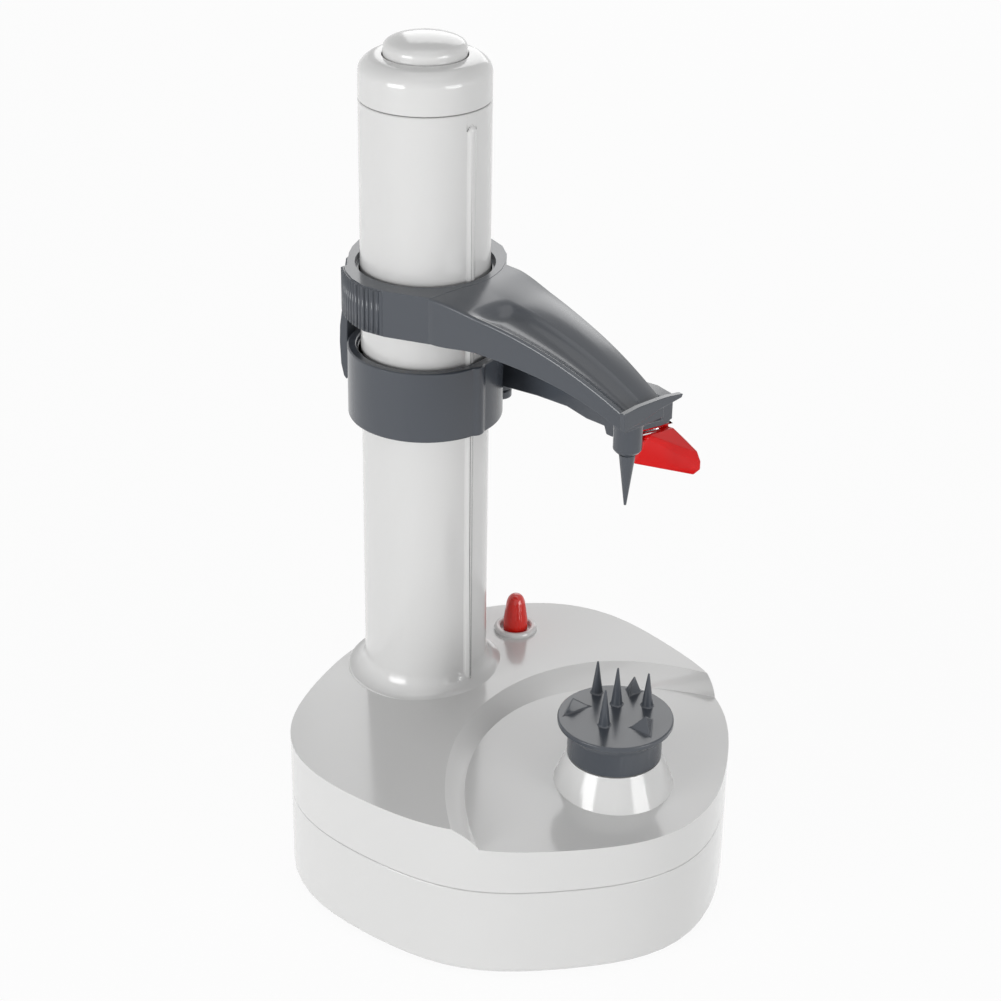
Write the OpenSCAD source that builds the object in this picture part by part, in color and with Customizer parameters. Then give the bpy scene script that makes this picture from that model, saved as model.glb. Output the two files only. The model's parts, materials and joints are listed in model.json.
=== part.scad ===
// Battery driven vegetable peeler: base with gear train, hollow column with
// lead screw, travelling blade arm, hand-set spike arm and turning food holder.
// Millimetres, +Z up, X from the column towards the food holder.
// The origin is on the table under the middle of the whole part, ring overhang included.

/* [Base] */
// Mean radius of the base outline
base_r = 75.3; // [74:0.1:84]
// How much the base is longer at the holder end
base_egg = -1.5; // [-2:0.1:2]
// Oval share of the base outline
base_oval = -0.5; // [-1:0.1:1]
// Height of the three soft lobes of the outline
base_lobe = 2.5; // [0:0.1:3]
// Sharpening of the three lobes
base_corner = 1.2; // [0:0.1:1.4]
// How much the outline is drawn in on the far side
base_back = 3.4; // [0:0.1:5]
// Gap under the tub, held by the rubber feet
foot_gap = 0.8; // [0.6:0.1:3]
// Height of the seam between tub and cover
seam_z = 34.3; // [33:0.1:38]
// Height of the raised top at the column axis
raised_z = 55.2; // [54:0.1:60]
// Height of the recessed top at the spindle axis
recess_z = 50.7; // [50:0.1:53.5]
// Rise of the raised top per millimetre of X
raised_slope = 0.0245; // [0:0.0005:0.03]
// Fall of the recessed top per millimetre of X
recess_slope = 0.035; // [0:0.001:0.04]
// Plastic wall of tub and cover
shell_t = 2.4; // [2:0.1:3]
// Bottom edge rounding of the tub
tub_round = 3; // [2:0.1:6]

/* [Axes] */
// Distance from the base centre back to the column axis
col_back = 48.7; // [46:0.1:50]
// Distance between the column axis and the spindle axis
axis_gap = 92.2; // [90:0.1:93]
// Start button place ahead of the column axis
button_dx = 5.7; // [4:0.1:9]
// Start button place beside the column axis
button_y = 39.5; // [37:0.1:42]

/* [Column] */
// Outer radius of the column
col_r = 21.5; // [20.5:0.1:22]
// Wall of the column
col_t = 2.5; // [2:0.1:3]
// Height of the seam under the cap
cap_seam_z = 264.8; // [250:0.1:280]
// Radius of the flared foot
flare_r = 27.5; // [26:0.1:29]
// Height of the flared foot
flare_h = 8; // [5:0.1:10]
// Radius of the guide rail bead
rail_r = 1.9; // [1.5:0.1:2.2]
// How far the rail stands out of the column
rail_out = 1.1; // [0.8:0.05:1.3]
// Height of the cap above its seam
cap_h = 14.1; // [12:0.1:16]
// Radius of the snap-in disc in the cap
disc_r = 13.4; // [10:0.1:14]
// Height of the disc above the cap
disc_h = 6.2; // [3:0.1:7]

/* [Screw drive] */
// Lead of the screw, travel for one turn
lead = 5; // [4:0.5:6]
// Outer radius of the thread
thread_r = 6; // [5.5:0.1:6.4]
// Core radius of the thread
core_r = 4.2; // [3.9:0.1:4.6]
// Radius of the plain screw shaft
screw_shaft_r = 4; // [3.5:0.1:4.2]
// Radius of the end journals of the screw
journal_r = 2.5; // [2:0.1:3]
// Downward travel of the blade carriage
travel = 80; // [60:1:82]
// Radius of the drive nut
nut_r = 11; // [10:0.1:12]
// Height of the drive nut
nut_h = 12; // [10:0.1:14]
// Width of the tongue that passes the column slot
tongue_w = 6; // [5:0.1:7]

/* [Blade carriage] */
// Underside of the carriage collar at the top of its travel
collar_z = 155.2; // [150:0.1:158]
// Height of the carriage collar
collar_h = 24.8; // [22:0.1:27]
// Outer radius of the carriage collar
collar_r = 26.1; // [25.5:0.1:27]
// Radius from the column axis to the arm pivot
pivot_r = 28; // [27.6:0.1:29]
// Direction of the arm pivot round the column
pivot_a = 71.4; // [66:0.1:76]
// Radius of the arm knuckle
knuckle_r = 4; // [3.4:0.1:4.2]
// Radius of the arm pivot pin
arm_pin_r = 1.5; // [1.2:0.1:1.8]
// Thickness of the peeling arm
peel_t = 5; // [4:0.1:6]

/* [Spike arm] */
// Underside of the upper ring
ring_z = 193.3; // [190:0.1:198]
// Height of the upper ring
ring_h = 15.9; // [14:0.1:18]
// Outer radius of the upper ring
ring_r = 25.7; // [25:0.1:26.5]
// Width of the spike arm at its root
root_w = 42; // [38:0.1:44]
// Width of the spike arm at its tip
tip_w = 18; // [15:0.1:22]
// Wall of the spike arm trough
trough_t = 2.2; // [1.8:0.1:3]
// Radius of the spike boss
boss_r = 4.6; // [4.2:0.1:5.5]
// Underside of the spike boss
boss_z = 173.2; // [170:0.1:176]
// Radius of the spike cone at its top
spike_r = 2.7; // [2.5:0.1:3.5]
// Length of the spike cone
spike_h = 18.2; // [15:0.1:22]
// Direction of the release lever round the column
lever_a = 200; // [196:1:206]

/* [Food holder] */
// Radius of the holder flange
flange_r = 19.2; // [17:0.1:20]
// Top face of the holder
holder_top = 75.7; // [74:0.1:78]
// Radius of the holder cup
cup_r = 15.7; // [14:0.1:16.5]
// Foot radius of the fixed cone under the holder
cone_r = 20.5; // [18:0.1:22]
// Top of the fixed cone
cone_top = 61.6; // [60:0.1:63]
// Radius of the spindle shaft
spindle_r = 3; // [2.5:0.1:3.5]

/* [Gears] */
// Module of the output gears
module_out = 1.5; // [1.5:0.1:1.6]
// Module of the reduction gears
module_in = 0.8; // [0.8:0.05:0.9]
// Teeth of the gear on the spindle
spindle_teeth = 24; // [22:1:24]
// Teeth of the gear on the lead screw
screw_teeth = 24; // [22:1:24]
// Teeth of every pinion
pinion_teeth = 12; // [12:1:14]
// Teeth of the second reduction wheel
second_teeth = 48; // [44:1:50]
// Teeth of the first reduction wheel
first_teeth = 42; // [40:1:44]
// Face width of the output gears
gear_w = 6; // [4:0.5:6.5]
// Face width of the reduction wheels
wheel_w = 3; // [2:0.5:3.5]

/* [Power] */
// Diameter of one cell
cell_d = 14.5; // [13.5:0.1:14.8]
// Length of one cell
cell_l = 50.5; // [48:0.1:51]
// Radius of the motor can
motor_r = 12; // [10:0.1:12.2]
// Length of the motor can
motor_h = 30.5; // [26:0.1:31]
// Travel of the start button
button_travel = 2.5; // [1.5:0.1:3]

/* [Hidden] */
$fn = 64;

// Clearances
run = 0.05;      // radial, of a turning shaft
seat = 0.02;     // radial, of a fixed or pressed piece
gap = 0.3;       // between pieces that move past each other
slide = 0.4;     // radial, of the collars on the column

// Base outline, a circle with soft lobes
function base_rad(a) = base_r + base_egg * cos(a) + base_oval * cos(2 * a)
    + base_lobe * cos(3 * a) + base_corner * cos(6 * a) - base_back * pow(max(0, sin(a)), 4);
ring_overhang = 1.8;
base_cx = (base_rad(180) - base_rad(0)) / 2 + ring_overhang;
outline_step = 5;
function outline(inset) = [for (a = [0 : outline_step : 359])
    [base_cx + (base_rad(a) - inset) * cos(a), (base_rad(a) - inset) * sin(a)]];

// Axes
col_x = base_cx - col_back;
spindle_x = col_x + axis_gap;
button_x = col_x + button_dx;

// Levels
tub_z = foot_gap;
floor_z = tub_z + shell_t;
tub_top = seam_z - gap / 2;
cover_z = seam_z + gap / 2;
cell_z = floor_z + gap / 2 + cell_d / 2;
plate_z = floor_z + 17.1;
plate_t = 2.5;
plate_top = plate_z + plate_t;
gear_z = plate_top + 1;
wheel_z = gear_z + gear_w + 1;
small_z = wheel_z - 0.5;
small_h = wheel_w + 1.5;
first_z = wheel_z + wheel_w + 2;
socket_floor = gear_z + gear_w + 6;
socket_t = 3;
col_z = socket_floor + socket_t + gap;
flare_z = raised_z - 0.7;
col_in = col_r - col_t;
socket_r = col_r + 2.4;
cap_z = cap_seam_z + gap / 2;
cap_top = cap_seam_z + cap_h;

// Gear train, worked out outwards from the spindle
pressure = 20;
addendum = 0.9;
dedendum = 1.25;
backlash = 0.12;
function pitch_r(teeth, m) = teeth * m / 2;
idler_teeth = ceil((axis_gap - pitch_r(spindle_teeth, module_out)
    - pitch_r(screw_teeth, module_out)) / module_out);
reach_s = pitch_r(spindle_teeth + idler_teeth, module_out);
reach_c = pitch_r(screw_teeth + idler_teeth, module_out);
idler_back = (axis_gap * axis_gap + reach_s * reach_s - reach_c * reach_c) / (2 * axis_gap);
idler_y = sqrt(max(0, reach_s * reach_s - idler_back * idler_back));
idler_x = spindle_x - idler_back;
second_dir = -90;
first_dir = -15;
motor_dir = 10;
second_x = idler_x + pitch_r(idler_teeth + pinion_teeth, module_out) * cos(second_dir);
second_y = idler_y + pitch_r(idler_teeth + pinion_teeth, module_out) * sin(second_dir);
first_x = second_x + pitch_r(second_teeth + pinion_teeth, module_in) * cos(first_dir);
first_y = second_y + pitch_r(second_teeth + pinion_teeth, module_in) * sin(first_dir);
motor_x = first_x + pitch_r(first_teeth + pinion_teeth, module_in) * cos(motor_dir);
motor_y = first_y + pitch_r(first_teeth + pinion_teeth, module_in) * sin(motor_dir);
dir_si = atan2(idler_y, idler_x - spindle_x);
dir_ic = atan2(-idler_y, col_x - idler_x);
function mesh_phase(phase, teeth, next_teeth, dir) =
    dir + 180 - (phase - dir) * teeth / next_teeth + 180 / next_teeth;
phase_idler = mesh_phase(dir_si, spindle_teeth, idler_teeth, dir_si);
phase_screw = mesh_phase(phase_idler, idler_teeth, screw_teeth, dir_ic);
phase_second = mesh_phase(phase_idler, idler_teeth, pinion_teeth, second_dir);
phase_first = mesh_phase(0, second_teeth, pinion_teeth, first_dir);
phase_motor = mesh_phase(0, first_teeth, pinion_teeth, motor_dir);
idler_pin_r = 2;
second_pin_r = 2;
first_pin_r = 1.5;
motor_shaft_r = 1;

// Outline of a gear with involute flanks
function involute(rb, r) = tan(acos(rb / r)) * 180 / PI - acos(rb / r);
function half_angle(teeth, m, r) = 90 / teeth * (1 - backlash)
    + involute(pitch_r(teeth, m) * cos(pressure), pitch_r(teeth, m))
    - involute(pitch_r(teeth, m) * cos(pressure), r);
function flank_radii(teeth, m) =
    let (lo = max(pitch_r(teeth, m) * cos(pressure) + 0.01, pitch_r(teeth, m) - dedendum * m),
        hi = pitch_r(teeth, m) + addendum * m)
    [for (i = [0 : 3]) lo + (hi - lo) * i / 3];
function tooth(teeth, m, at) =
    let (radii = flank_radii(teeth, m), root = pitch_r(teeth, m) - dedendum * m,
        foot = half_angle(teeth, m, radii[0]))
    concat([[root, at - foot]],
        [for (i = [0 : 3]) [radii[i], at - half_angle(teeth, m, radii[i])]],
        [for (i = [3 : -1 : 0]) [radii[i], at + half_angle(teeth, m, radii[i])]],
        [[root, at + foot]]);
function gear_outline(teeth, m) = [for (i = [0 : teeth - 1]) for (p = tooth(teeth, m, i * 360 / teeth))
    [p[0] * cos(p[1]), p[0] * sin(p[1])]];

module gear(teeth, m, width, phase) {
    rotate([0, 0, phase])
        linear_extrude(width)
            polygon(gear_outline(teeth, m));
}

// One unbroken helical tube, standing on z = 0
function helix_ring(r, wire, pitch, turn, sides) = [for (k = [0 : sides - 1])
    [(r + wire * cos(k * 360 / sides)) * cos(turn * 360),
        (r + wire * cos(k * 360 / sides)) * sin(turn * 360),
        wire + pitch * turn + wire * sin(k * 360 / sides)]];
module helix(r, wire, pitch, turns) {
    sides = 6;
    steps = 10 * turns;
    points = [for (i = [0 : steps]) each helix_ring(r, wire, pitch, i / 10, sides)];
    start = [[for (k = [0 : sides - 1]) k]];
    end = [[for (k = [0 : sides - 1]) steps * sides + sides - 1 - k]];
    walls = [for (i = [0 : steps - 1]) for (k = [0 : sides - 1])
        each let (a = i * sides + k, b = i * sides + (k + 1) % sides, c = a + sides, d = b + sides)
            [[a, c, b], [b, c, d]]];
    polyhedron(points, concat(start, walls, end));
}

// A screw: flat pan head down, shank up from z = 0
screw_r = 1.25;
screw_head_r = 2.6;
screw_head_h = 1.6;
module screw(length) {
    translate([0, 0, -screw_head_h])
        cylinder(h = screw_head_h, r = screw_head_r);
    cylinder(h = length, r = screw_r);
}

// Base posts that take the cover screws and the plate screws
post_r = 3.6;
pilot_r = screw_r + run;
cover_posts = [for (a = [44, 84, 150, -150, -84, -20])
    [base_cx + (base_rad(a) - shell_t - post_r - 0.8) * cos(a), (base_rad(a) - shell_t - post_r - 0.8) * sin(a)]];
plate_posts = [[col_x - 8, 26], [col_x + 10, -30], [second_x + 12, second_y - 24], [spindle_x + 15, 25]];
feet = [for (a = [30, 122, -122, -42]) [base_cx + (base_rad(a) - 17) * cos(a), (base_rad(a) - 17) * sin(a)]];
foot_r = 6;
foot_sink = 0.6;

// Battery bay
cells = 4;
cell_gap = 0.4;
contact_t = 3;
bay_wall = 1.6;
bay_l = cell_l + 2 * contact_t;
bay_w = cells * cell_d + (cells + 1) * cell_gap;
bay_x = base_cx + 3;
bay_y = 12;
bay_top = cell_z + cell_d / 2 + gap;
door_lap = 1;
door_t = 1.4;
door_ear = 9;
door_screw_x = bay_x - bay_l / 2 - 5;

// Start button and its switch
button_r = 4.45;
button_rim_r = 7.8;
button_rim_z = raised_z + raised_slope * button_dx + 1.8;
button_bore_r = 5.5;
button_well_r = 6.8;
button_flange_z = raised_z - 4.2;
button_flange_t = 1.6;
button_top = button_rim_z + 13;
button_post_r = 6;
switch_h = 5;
switch_z = button_flange_z - 14;
plunger_h = 2.2;

// Length of the screws
cover_screw_z = floor_z + 3;
cover_screw_l = seam_z + 9 - cover_screw_z;

module slab(inset, z0, h) {
    translate([0, 0, z0])
        linear_extrude(h)
            polygon(outline(inset));
}

module box(size, x, y, z) {
    translate([x - size[0] / 2, y - size[1] / 2, z])
        cube(size);
}

// A cylinder standing at a place
module rod(x, y, z, h, r) {
    translate([x, y, z])
        cylinder(h = h, r = r);
}

// Height of the inner lip that stands up from the tub into the cover
lip_h = 2.2;
module tub_body() {
    skin = 0.2;
    soft = tub_round * 0.29;
    difference() {
        hull() {
            slab(tub_round, tub_z, skin);
            slab(soft, tub_z + soft, skin);
            slab(0, tub_z + tub_round, tub_top - tub_z - tub_round);
        }
        slab(shell_t + tub_round * 0.6, floor_z, seam_z);
        slab(shell_t, tub_z + tub_round, seam_z);
    }
    difference() {
        union() {
            slab(shell_t - 0.1, tub_top - 4, 4);
            slab(shell_t + seat * 10, tub_top - 4, 4 + lip_h);
        }
        slab(shell_t + 1.4, tub_top - 5, 8);
        rod(col_x, 0, tub_top, 8, socket_r + gap);
    }
}

module base_tub() {
    root = 0.5;
    color([0.93, 0.93, 0.92])
    difference() {
        union() {
            tub_body();
            box([bay_l + 2 * bay_wall, bay_w + 2 * bay_wall, bay_top - floor_z + root], bay_x, bay_y, floor_z - root);
            rod(door_screw_x, bay_y, floor_z - root, 8, post_r);
            for (p = cover_posts)
                rod(p[0], p[1], floor_z - root, tub_top - floor_z - 1, post_r);
            for (p = plate_posts)
                rod(p[0], p[1], floor_z - root, plate_z - floor_z + root, post_r);
            rod(motor_x, motor_y, floor_z - root, plate_z - floor_z - 1, motor_r + 1.5);
            rod(button_x, button_y, floor_z - root, switch_z - floor_z + root, button_post_r);
        }
        box([bay_l, bay_w, bay_top], bay_x, bay_y, floor_z);
        box([bay_l - 2 * door_lap, bay_w - 2 * door_lap, shell_t + 2], bay_x, bay_y, tub_z - 1);
        box([bay_l + 2 + door_ear, bay_w + 2, 1 + door_t], bay_x - door_ear / 2, bay_y, tub_z - 1);
        rod(door_screw_x, bay_y, tub_z, 9, pilot_r);
        for (p = cover_posts) {
            rod(p[0], p[1], tub_z - 1, seam_z, pilot_r + 0.15);
            rod(p[0], p[1], tub_z - 1, cover_screw_z - tub_z + 1, screw_head_r + gap);
        }
        for (p = plate_posts)
            rod(p[0], p[1], plate_z - 10, 11, pilot_r);
        for (p = feet)
            rod(p[0], p[1], tub_z - 1, 1 + foot_sink, foot_r + run);
        rod(motor_x, motor_y, floor_z, seam_z, motor_r + run);
    }
}

// Everything above the raised top plane, moved down by drop
module above_raised(drop) {
    translate([col_x, 0, raised_z - drop])
        rotate([0, -atan(raised_slope), 0])
            translate([-60, -100, 0])
                cube([240, 200, 40]);
}

// Everything above the recessed top plane, moved down by drop
module above_recess(drop) {
    translate([spindle_x, 0, recess_z - drop])
        rotate([0, atan(recess_slope), 0])
            translate([-160, -100, 0])
                cube([260, 200, 40]);
}

// The recess is bounded by two ellipses, one at the foot of its wall and one at the rim
// Each holds its centre from the spindle, its half axes and its turn
recess_foot = [56, 0.1, 106.3, 75.5, -5.9];
recess_rim = [46.4, -10.7, 110.8, 74.9, -22.7];
recess_foot_z = recess_z + 1.5;
recess_rim_z = raised_z + 1.1;
function recess_point(e, grow, a, z) =
    let (x = (e[2] + grow) * cos(a), y = (e[3] + grow) * sin(a))
    [spindle_x + e[0] + x * cos(e[4]) - y * sin(e[4]), e[1] + x * sin(e[4]) + y * cos(e[4]), z];
module recess_pocket(grow) {
    n = 72;
    rings = [[recess_foot, recess_foot_z - 12], [recess_foot, recess_foot_z],
        [recess_rim, recess_rim_z], [recess_rim, recess_rim_z + 10]];
    last = len(rings) - 1;
    points = [for (r = rings) for (k = [0 : n - 1]) recess_point(r[0], grow, k * 360 / n, r[1])];
    bottom = [[for (k = [0 : n - 1]) k]];
    top = [[for (k = [n - 1 : -1 : 0]) last * n + k]];
    walls = [for (i = [0 : last - 1]) for (k = [0 : n - 1])
        each let (a = i * n + k, b = i * n + (k + 1) % n, c = a + n, d = b + n)
            [[a, c, b], [b, c, d]]];
    polyhedron(points, concat(bottom, walls, top));
}

module cover_skin() {
    top = raised_z + raised_slope * 130;
    difference() {
        slab(0, cover_z, top - cover_z);
        above_raised(0);
        intersection() {
            recess_pocket(0);
            above_recess(0);
        }
    }
}

module base_cover() {
    cone_z = recess_z - 1.2;
    color([0.93, 0.93, 0.92])
    difference() {
        union() {
            difference() {
                cover_skin();
                difference() {
                    slab(shell_t, cover_z - 1, 40);
                    above_recess(shell_t);
                }
                difference() {
                    slab(shell_t, cover_z + 5, 40);
                    above_raised(shell_t);
                    recess_pocket(shell_t);
                }
            }
            rod(col_x, 0, socket_floor, raised_z - 2 - socket_floor, socket_r);
            translate([spindle_x, 0, cone_z])
                cylinder(h = cone_top - cone_z, r1 = cone_r + 0.3, r2 = cup_r);
            rod(button_x, button_y, button_flange_z - 4, button_rim_z - button_flange_z + 4, button_rim_r);
            intersection() {
                cover_skin();
                for (p = cover_posts)
                    rod(p[0], p[1], tub_top + lip_h + gap, 30, post_r);
            }
        }
        rod(col_x, 0, col_z - gap, 30, col_r + 0.2);
        rod(col_x, 0, flare_z - gap / 2, 10, flare_r + gap / 2);
        rod(col_x, 0, socket_floor - 1, 10, bush_c_r + seat);
        for (a = column_screw_dirs)
            rod(col_x + column_screw_r * cos(a), column_screw_r * sin(a), socket_floor - 1, 10, pilot_r + 0.1);
        difference() {
            translate([spindle_x, 0, cone_z - 2])
                cylinder(h = cone_top - cone_z - 0.4, r1 = cone_r - 1, r2 = cup_r - 2.4);
            rod(spindle_x, 0, cone_z - 6, 30, bush_s_r + 2);
        }
        rod(spindle_x, 0, cone_z - 6, 30, bush_s_r + seat);
        rod(button_x, button_y, button_flange_z - 5, 30, button_bore_r);
        rod(button_x, button_y, button_flange_z - 5, 5 + button_flange_t + gap, button_well_r);
        for (p = cover_posts)
            rod(p[0], p[1], tub_top, recess_z - tub_top - 4, pilot_r);
    }
}

module battery_door() {
    color([0.9, 0.9, 0.89])
    difference() {
        box([bay_l + 2 + door_ear - 2 * gap, bay_w + 2 - 2 * gap, door_t - 0.1], bay_x - door_ear / 2, bay_y, tub_z);
        rod(door_screw_x, bay_y, tub_z - 1, 5, pilot_r + 0.15);
        rod(door_screw_x, bay_y, tub_z - 1, 1.6, screw_head_r + gap);
    }
}

module door_screw() {
    color("silver")
    translate([door_screw_x, bay_y, tub_z + 0.6])
        union() {
            translate([0, 0, -0.6])
                cylinder(h = 0.6, r = screw_head_r);
            cylinder(h = 8, r = screw_r);
        }
}

module rubber_feet() {
    color([0.2, 0.2, 0.21])
    for (p = feet)
        rod(p[0], p[1], 0, tub_z + foot_sink, foot_r);
}

module base_screws() {
    color("silver")
    for (p = cover_posts)
        translate([p[0], p[1], cover_screw_z])
            screw(cover_screw_l);
}

plate_outline = [[col_x - 14, 30], [second_x - 6, 46], [spindle_x + 8, 34], [spindle_x + 22, 26],
    [spindle_x + 22, -10], [first_x + 12, -18], [first_x + 10, first_y - 8], [second_x + 18, second_y - 29],
    [second_x + 5, second_y - 29], [col_x + 8, -36], [col_x - 14, -10]];
module gear_plate() {
    color([0.82, 0.82, 0.8])
    difference() {
        union() {
            translate([0, 0, plate_z])
                linear_extrude(plate_t)
                    polygon(plate_outline);
            rod(spindle_x, 0, plate_z - 2, plate_t + 2.5, spindle_r + 2.5);
            rod(col_x, 0, plate_z - 2, plate_t + 2.5, journal_r + 2.5);
        }
        for (p = plate_posts)
            rod(p[0], p[1], plate_z - 1, plate_t + 2, pilot_r + 0.15);
        for (p = cover_posts)
            rod(p[0], p[1], plate_z - 1, plate_t + 2, post_r + gap);
        rod(button_x, button_y, plate_z - 1, plate_t + 2, button_post_r + gap);
        rod(motor_x, motor_y, plate_z - 3, 10, motor_r + 0.6);
        rod(spindle_x, 0, plate_z - 1, 10, spindle_r + run);
        rod(col_x, 0, plate_z - 1, 10, journal_r + run);
        rod(idler_x, idler_y, plate_z - 1, 10, idler_pin_r + seat);
        rod(second_x, second_y, plate_z - 1, 10, second_pin_r + seat);
        rod(first_x, first_y, plate_z - 1, 10, first_pin_r + seat);
    }
}

module plate_screws() {
    color("silver")
    for (p = plate_posts)
        translate([p[0], p[1], plate_top])
            rotate([180, 0, 0])
                screw(9);
}

motor_z = floor_z;
module motor() {
    nose_r = 3;
    color([0.75, 0.76, 0.78])
    difference() {
        union() {
            rod(motor_x, motor_y, motor_z, motor_h, motor_r);
            rod(motor_x, motor_y, motor_z + motor_h - 0.5, 1.7, nose_r);
        }
        rod(motor_x, motor_y, motor_z + motor_h - 9, 12, motor_shaft_r + run);
    }
}

module motor_shaft() {
    color("silver")
    rod(motor_x, motor_y, motor_z + motor_h - 8.5, first_z + wheel_w + 1 - motor_z - motor_h + 8.5, motor_shaft_r);
}

module motor_pinion() {
    color([0.92, 0.88, 0.7])
    difference() {
        translate([motor_x, motor_y, first_z - 0.3])
            gear(pinion_teeth, module_in, wheel_w + 1, phase_motor);
        rod(motor_x, motor_y, first_z - 1, 10, motor_shaft_r + seat);
    }
}

module first_gear() {
    color([0.94, 0.94, 0.9])
    difference() {
        union() {
            translate([first_x, first_y, first_z])
                gear(first_teeth, module_in, wheel_w, 0);
            translate([first_x, first_y, small_z])
                gear(pinion_teeth, module_in, first_z - small_z + 0.5, phase_first);
        }
        rod(first_x, first_y, small_z - 1, 20, first_pin_r + run);
    }
}

module second_gear() {
    color([0.94, 0.94, 0.9])
    difference() {
        union() {
            translate([second_x, second_y, wheel_z])
                gear(second_teeth, module_in, wheel_w, 0);
            translate([second_x, second_y, gear_z])
                gear(pinion_teeth, module_out, wheel_z - gear_z + 0.5, phase_second);
        }
        rod(second_x, second_y, gear_z - 1, 20, second_pin_r + run);
    }
}

module idler_gear() {
    color([0.94, 0.94, 0.9])
    difference() {
        translate([idler_x, idler_y, gear_z])
            gear(idler_teeth, module_out, gear_w, phase_idler);
        rod(idler_x, idler_y, gear_z - 1, 20, idler_pin_r + run);
    }
}

clip_gap = 0.2;
clip_t = 0.8;
module gear_pins() {
    color("silver") {
        rod(idler_x, idler_y, plate_z, gear_z + gear_w + 1.4 - plate_z, idler_pin_r);
        rod(second_x, second_y, plate_z, wheel_z + wheel_w + 1.4 - plate_z, second_pin_r);
        rod(first_x, first_y, plate_z, first_z + wheel_w + 1.4 - plate_z, first_pin_r);
    }
    for (p = [[idler_x, idler_y, idler_pin_r], [second_x, second_y, second_pin_r]])
        color("silver")
        difference() {
            rod(p[0], p[1], plate_top, gear_z - plate_top - clip_gap, p[2] + 1.5);
            rod(p[0], p[1], plate_top - 1, 3, p[2] - 0.1);
        }
}

module gear_clip(x, y, top, r) {
    difference() {
        rod(x, y, top + clip_gap, clip_t, r + 1.5);
        rod(x, y, top, 2, r + seat);
    }
}

module gear_clips() {
    color([0.3, 0.3, 0.32]) {
        gear_clip(idler_x, idler_y, gear_z + gear_w, idler_pin_r);
        gear_clip(second_x, second_y, wheel_z + wheel_w, second_pin_r);
        gear_clip(first_x, first_y, first_z + wheel_w, first_pin_r);
    }
}

shaft_top = holder_top - 3.5;
module spindle_shaft() {
    color("silver")
    rod(spindle_x, 0, plate_z - 0.95, shaft_top - plate_z + 0.95, spindle_r);
}

module spindle_gear() {
    color([0.94, 0.94, 0.9])
    difference() {
        union() {
            translate([spindle_x, 0, gear_z])
                gear(spindle_teeth, module_out, gear_w, dir_si);
            rod(spindle_x, 0, gear_z + gear_w - 0.5, 4, spindle_r + 3);
        }
        rod(spindle_x, 0, gear_z - 1, 20, spindle_r + seat);
    }
}

bush_s_r = spindle_r + 2;
module spindle_bush() {
    color([0.72, 0.55, 0.3])
    difference() {
        rod(spindle_x, 0, recess_z - 3, cone_top - recess_z + 3, bush_s_r);
        rod(spindle_x, 0, recess_z - 4, 20, spindle_r + run);
    }
}

// Places of the holder prongs from the spindle axis, and their heights
prongs = [[-14.4, 6.2, 12.3], [-4.9, 5.7, 14.2], [2.7, 12.5, 12.6], [1, -6.5, 13.6]];
// Foot corners and tip of the holder wedges, from the spindle axis and the holder top
wedges = [[[-11.7, -12.6, 0], [-9.6, -1.6, 0], [-16.8, -3.4, 0], [-13, -6.9, 4.4]],
    [[16.6, -1, 0], [9.6, 7.8, 0], [7.6, -1.8, 0], [11.4, 2, 4.8]],
    [[-9.2, 14.4, 0], [-5.2, 11.8, 0], [-4.2, 17.4, 0], [-6, 15.4, 7]]];
cup_floor = 70;
module food_holder() {
    rim = 2;
    color([0.28, 0.3, 0.33])
    translate([spindle_x, 0, 0])
        union() {
            difference() {
                rotate_extrude()
                    polygon([[0, cone_top + gap], [cup_r, cone_top + gap], [cup_r, cup_floor],
                        [flange_r - 1.6, holder_top - rim], [flange_r, holder_top - rim], [flange_r, holder_top],
                        [0, holder_top]]);
                difference() {
                    rod(0, 0, cone_top - 1, cup_floor - cone_top, cup_r - 2);
                    rod(0, 0, cone_top - 2, 20, spindle_r + 3);
                }
                rod(0, 0, cone_top - 1, shaft_top - cone_top + 1 + gap / 3, spindle_r + seat);
            }
            for (p = prongs)
                translate([p[0], p[1], holder_top - 0.2])
                    cylinder(h = p[2], r1 = 2, r2 = 0.3);
            for (w = wedges)
                translate([0, 0, holder_top - 0.2])
                    polyhedron(w, [[0, 1, 2], [0, 3, 1], [1, 3, 2], [2, 3, 0]]);
        }
}

module screw_gear() {
    color([0.94, 0.94, 0.9])
    difference() {
        union() {
            translate([col_x, 0, gear_z])
                gear(screw_teeth, module_out, gear_w, phase_screw);
            rod(col_x, 0, gear_z + gear_w - 0.5, 3, screw_shaft_r + 3);
        }
        rod(col_x, 0, gear_z - 1, 20, screw_shaft_r + seat);
    }
}

// Thread of the lead screw as rings of points round a core
nut_z = collar_z + 6;
thread_z = nut_z - travel - 6;
thread_top = nut_z + nut_h + 6;
thread_sides = 16;
thread_steps = 8;
thread_rings = ceil((thread_top - thread_z) / lead * thread_steps);
function ridge(t) = let (u = abs(t - floor(t) - 0.5)) u > 0.36 ? 1 : u < 0.24 ? 0 : (u - 0.24) / 0.12;
function thread_point(i, k) =
    let (z = i * lead / thread_steps, a = k * 360 / thread_sides,
        r = core_r + (thread_r - core_r) * ridge(z / lead - a / 360))
    [r * cos(a), r * sin(a), z];
module thread() {
    n = thread_sides;
    points = [for (i = [0 : thread_rings]) for (k = [0 : n - 1]) thread_point(i, k)];
    bottom = [[for (k = [0 : n - 1]) k]];
    top = [[for (k = [n - 1 : -1 : 0]) thread_rings * n + k]];
    walls = [for (i = [0 : thread_rings - 1]) for (k = [0 : n - 1])
        each let (a = i * n + k, b = i * n + (k + 1) % n, c = a + n, d = b + n)
            [[a, c, b], [b, c, d]]];
    polyhedron(points, concat(bottom, walls, top));
}

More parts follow.
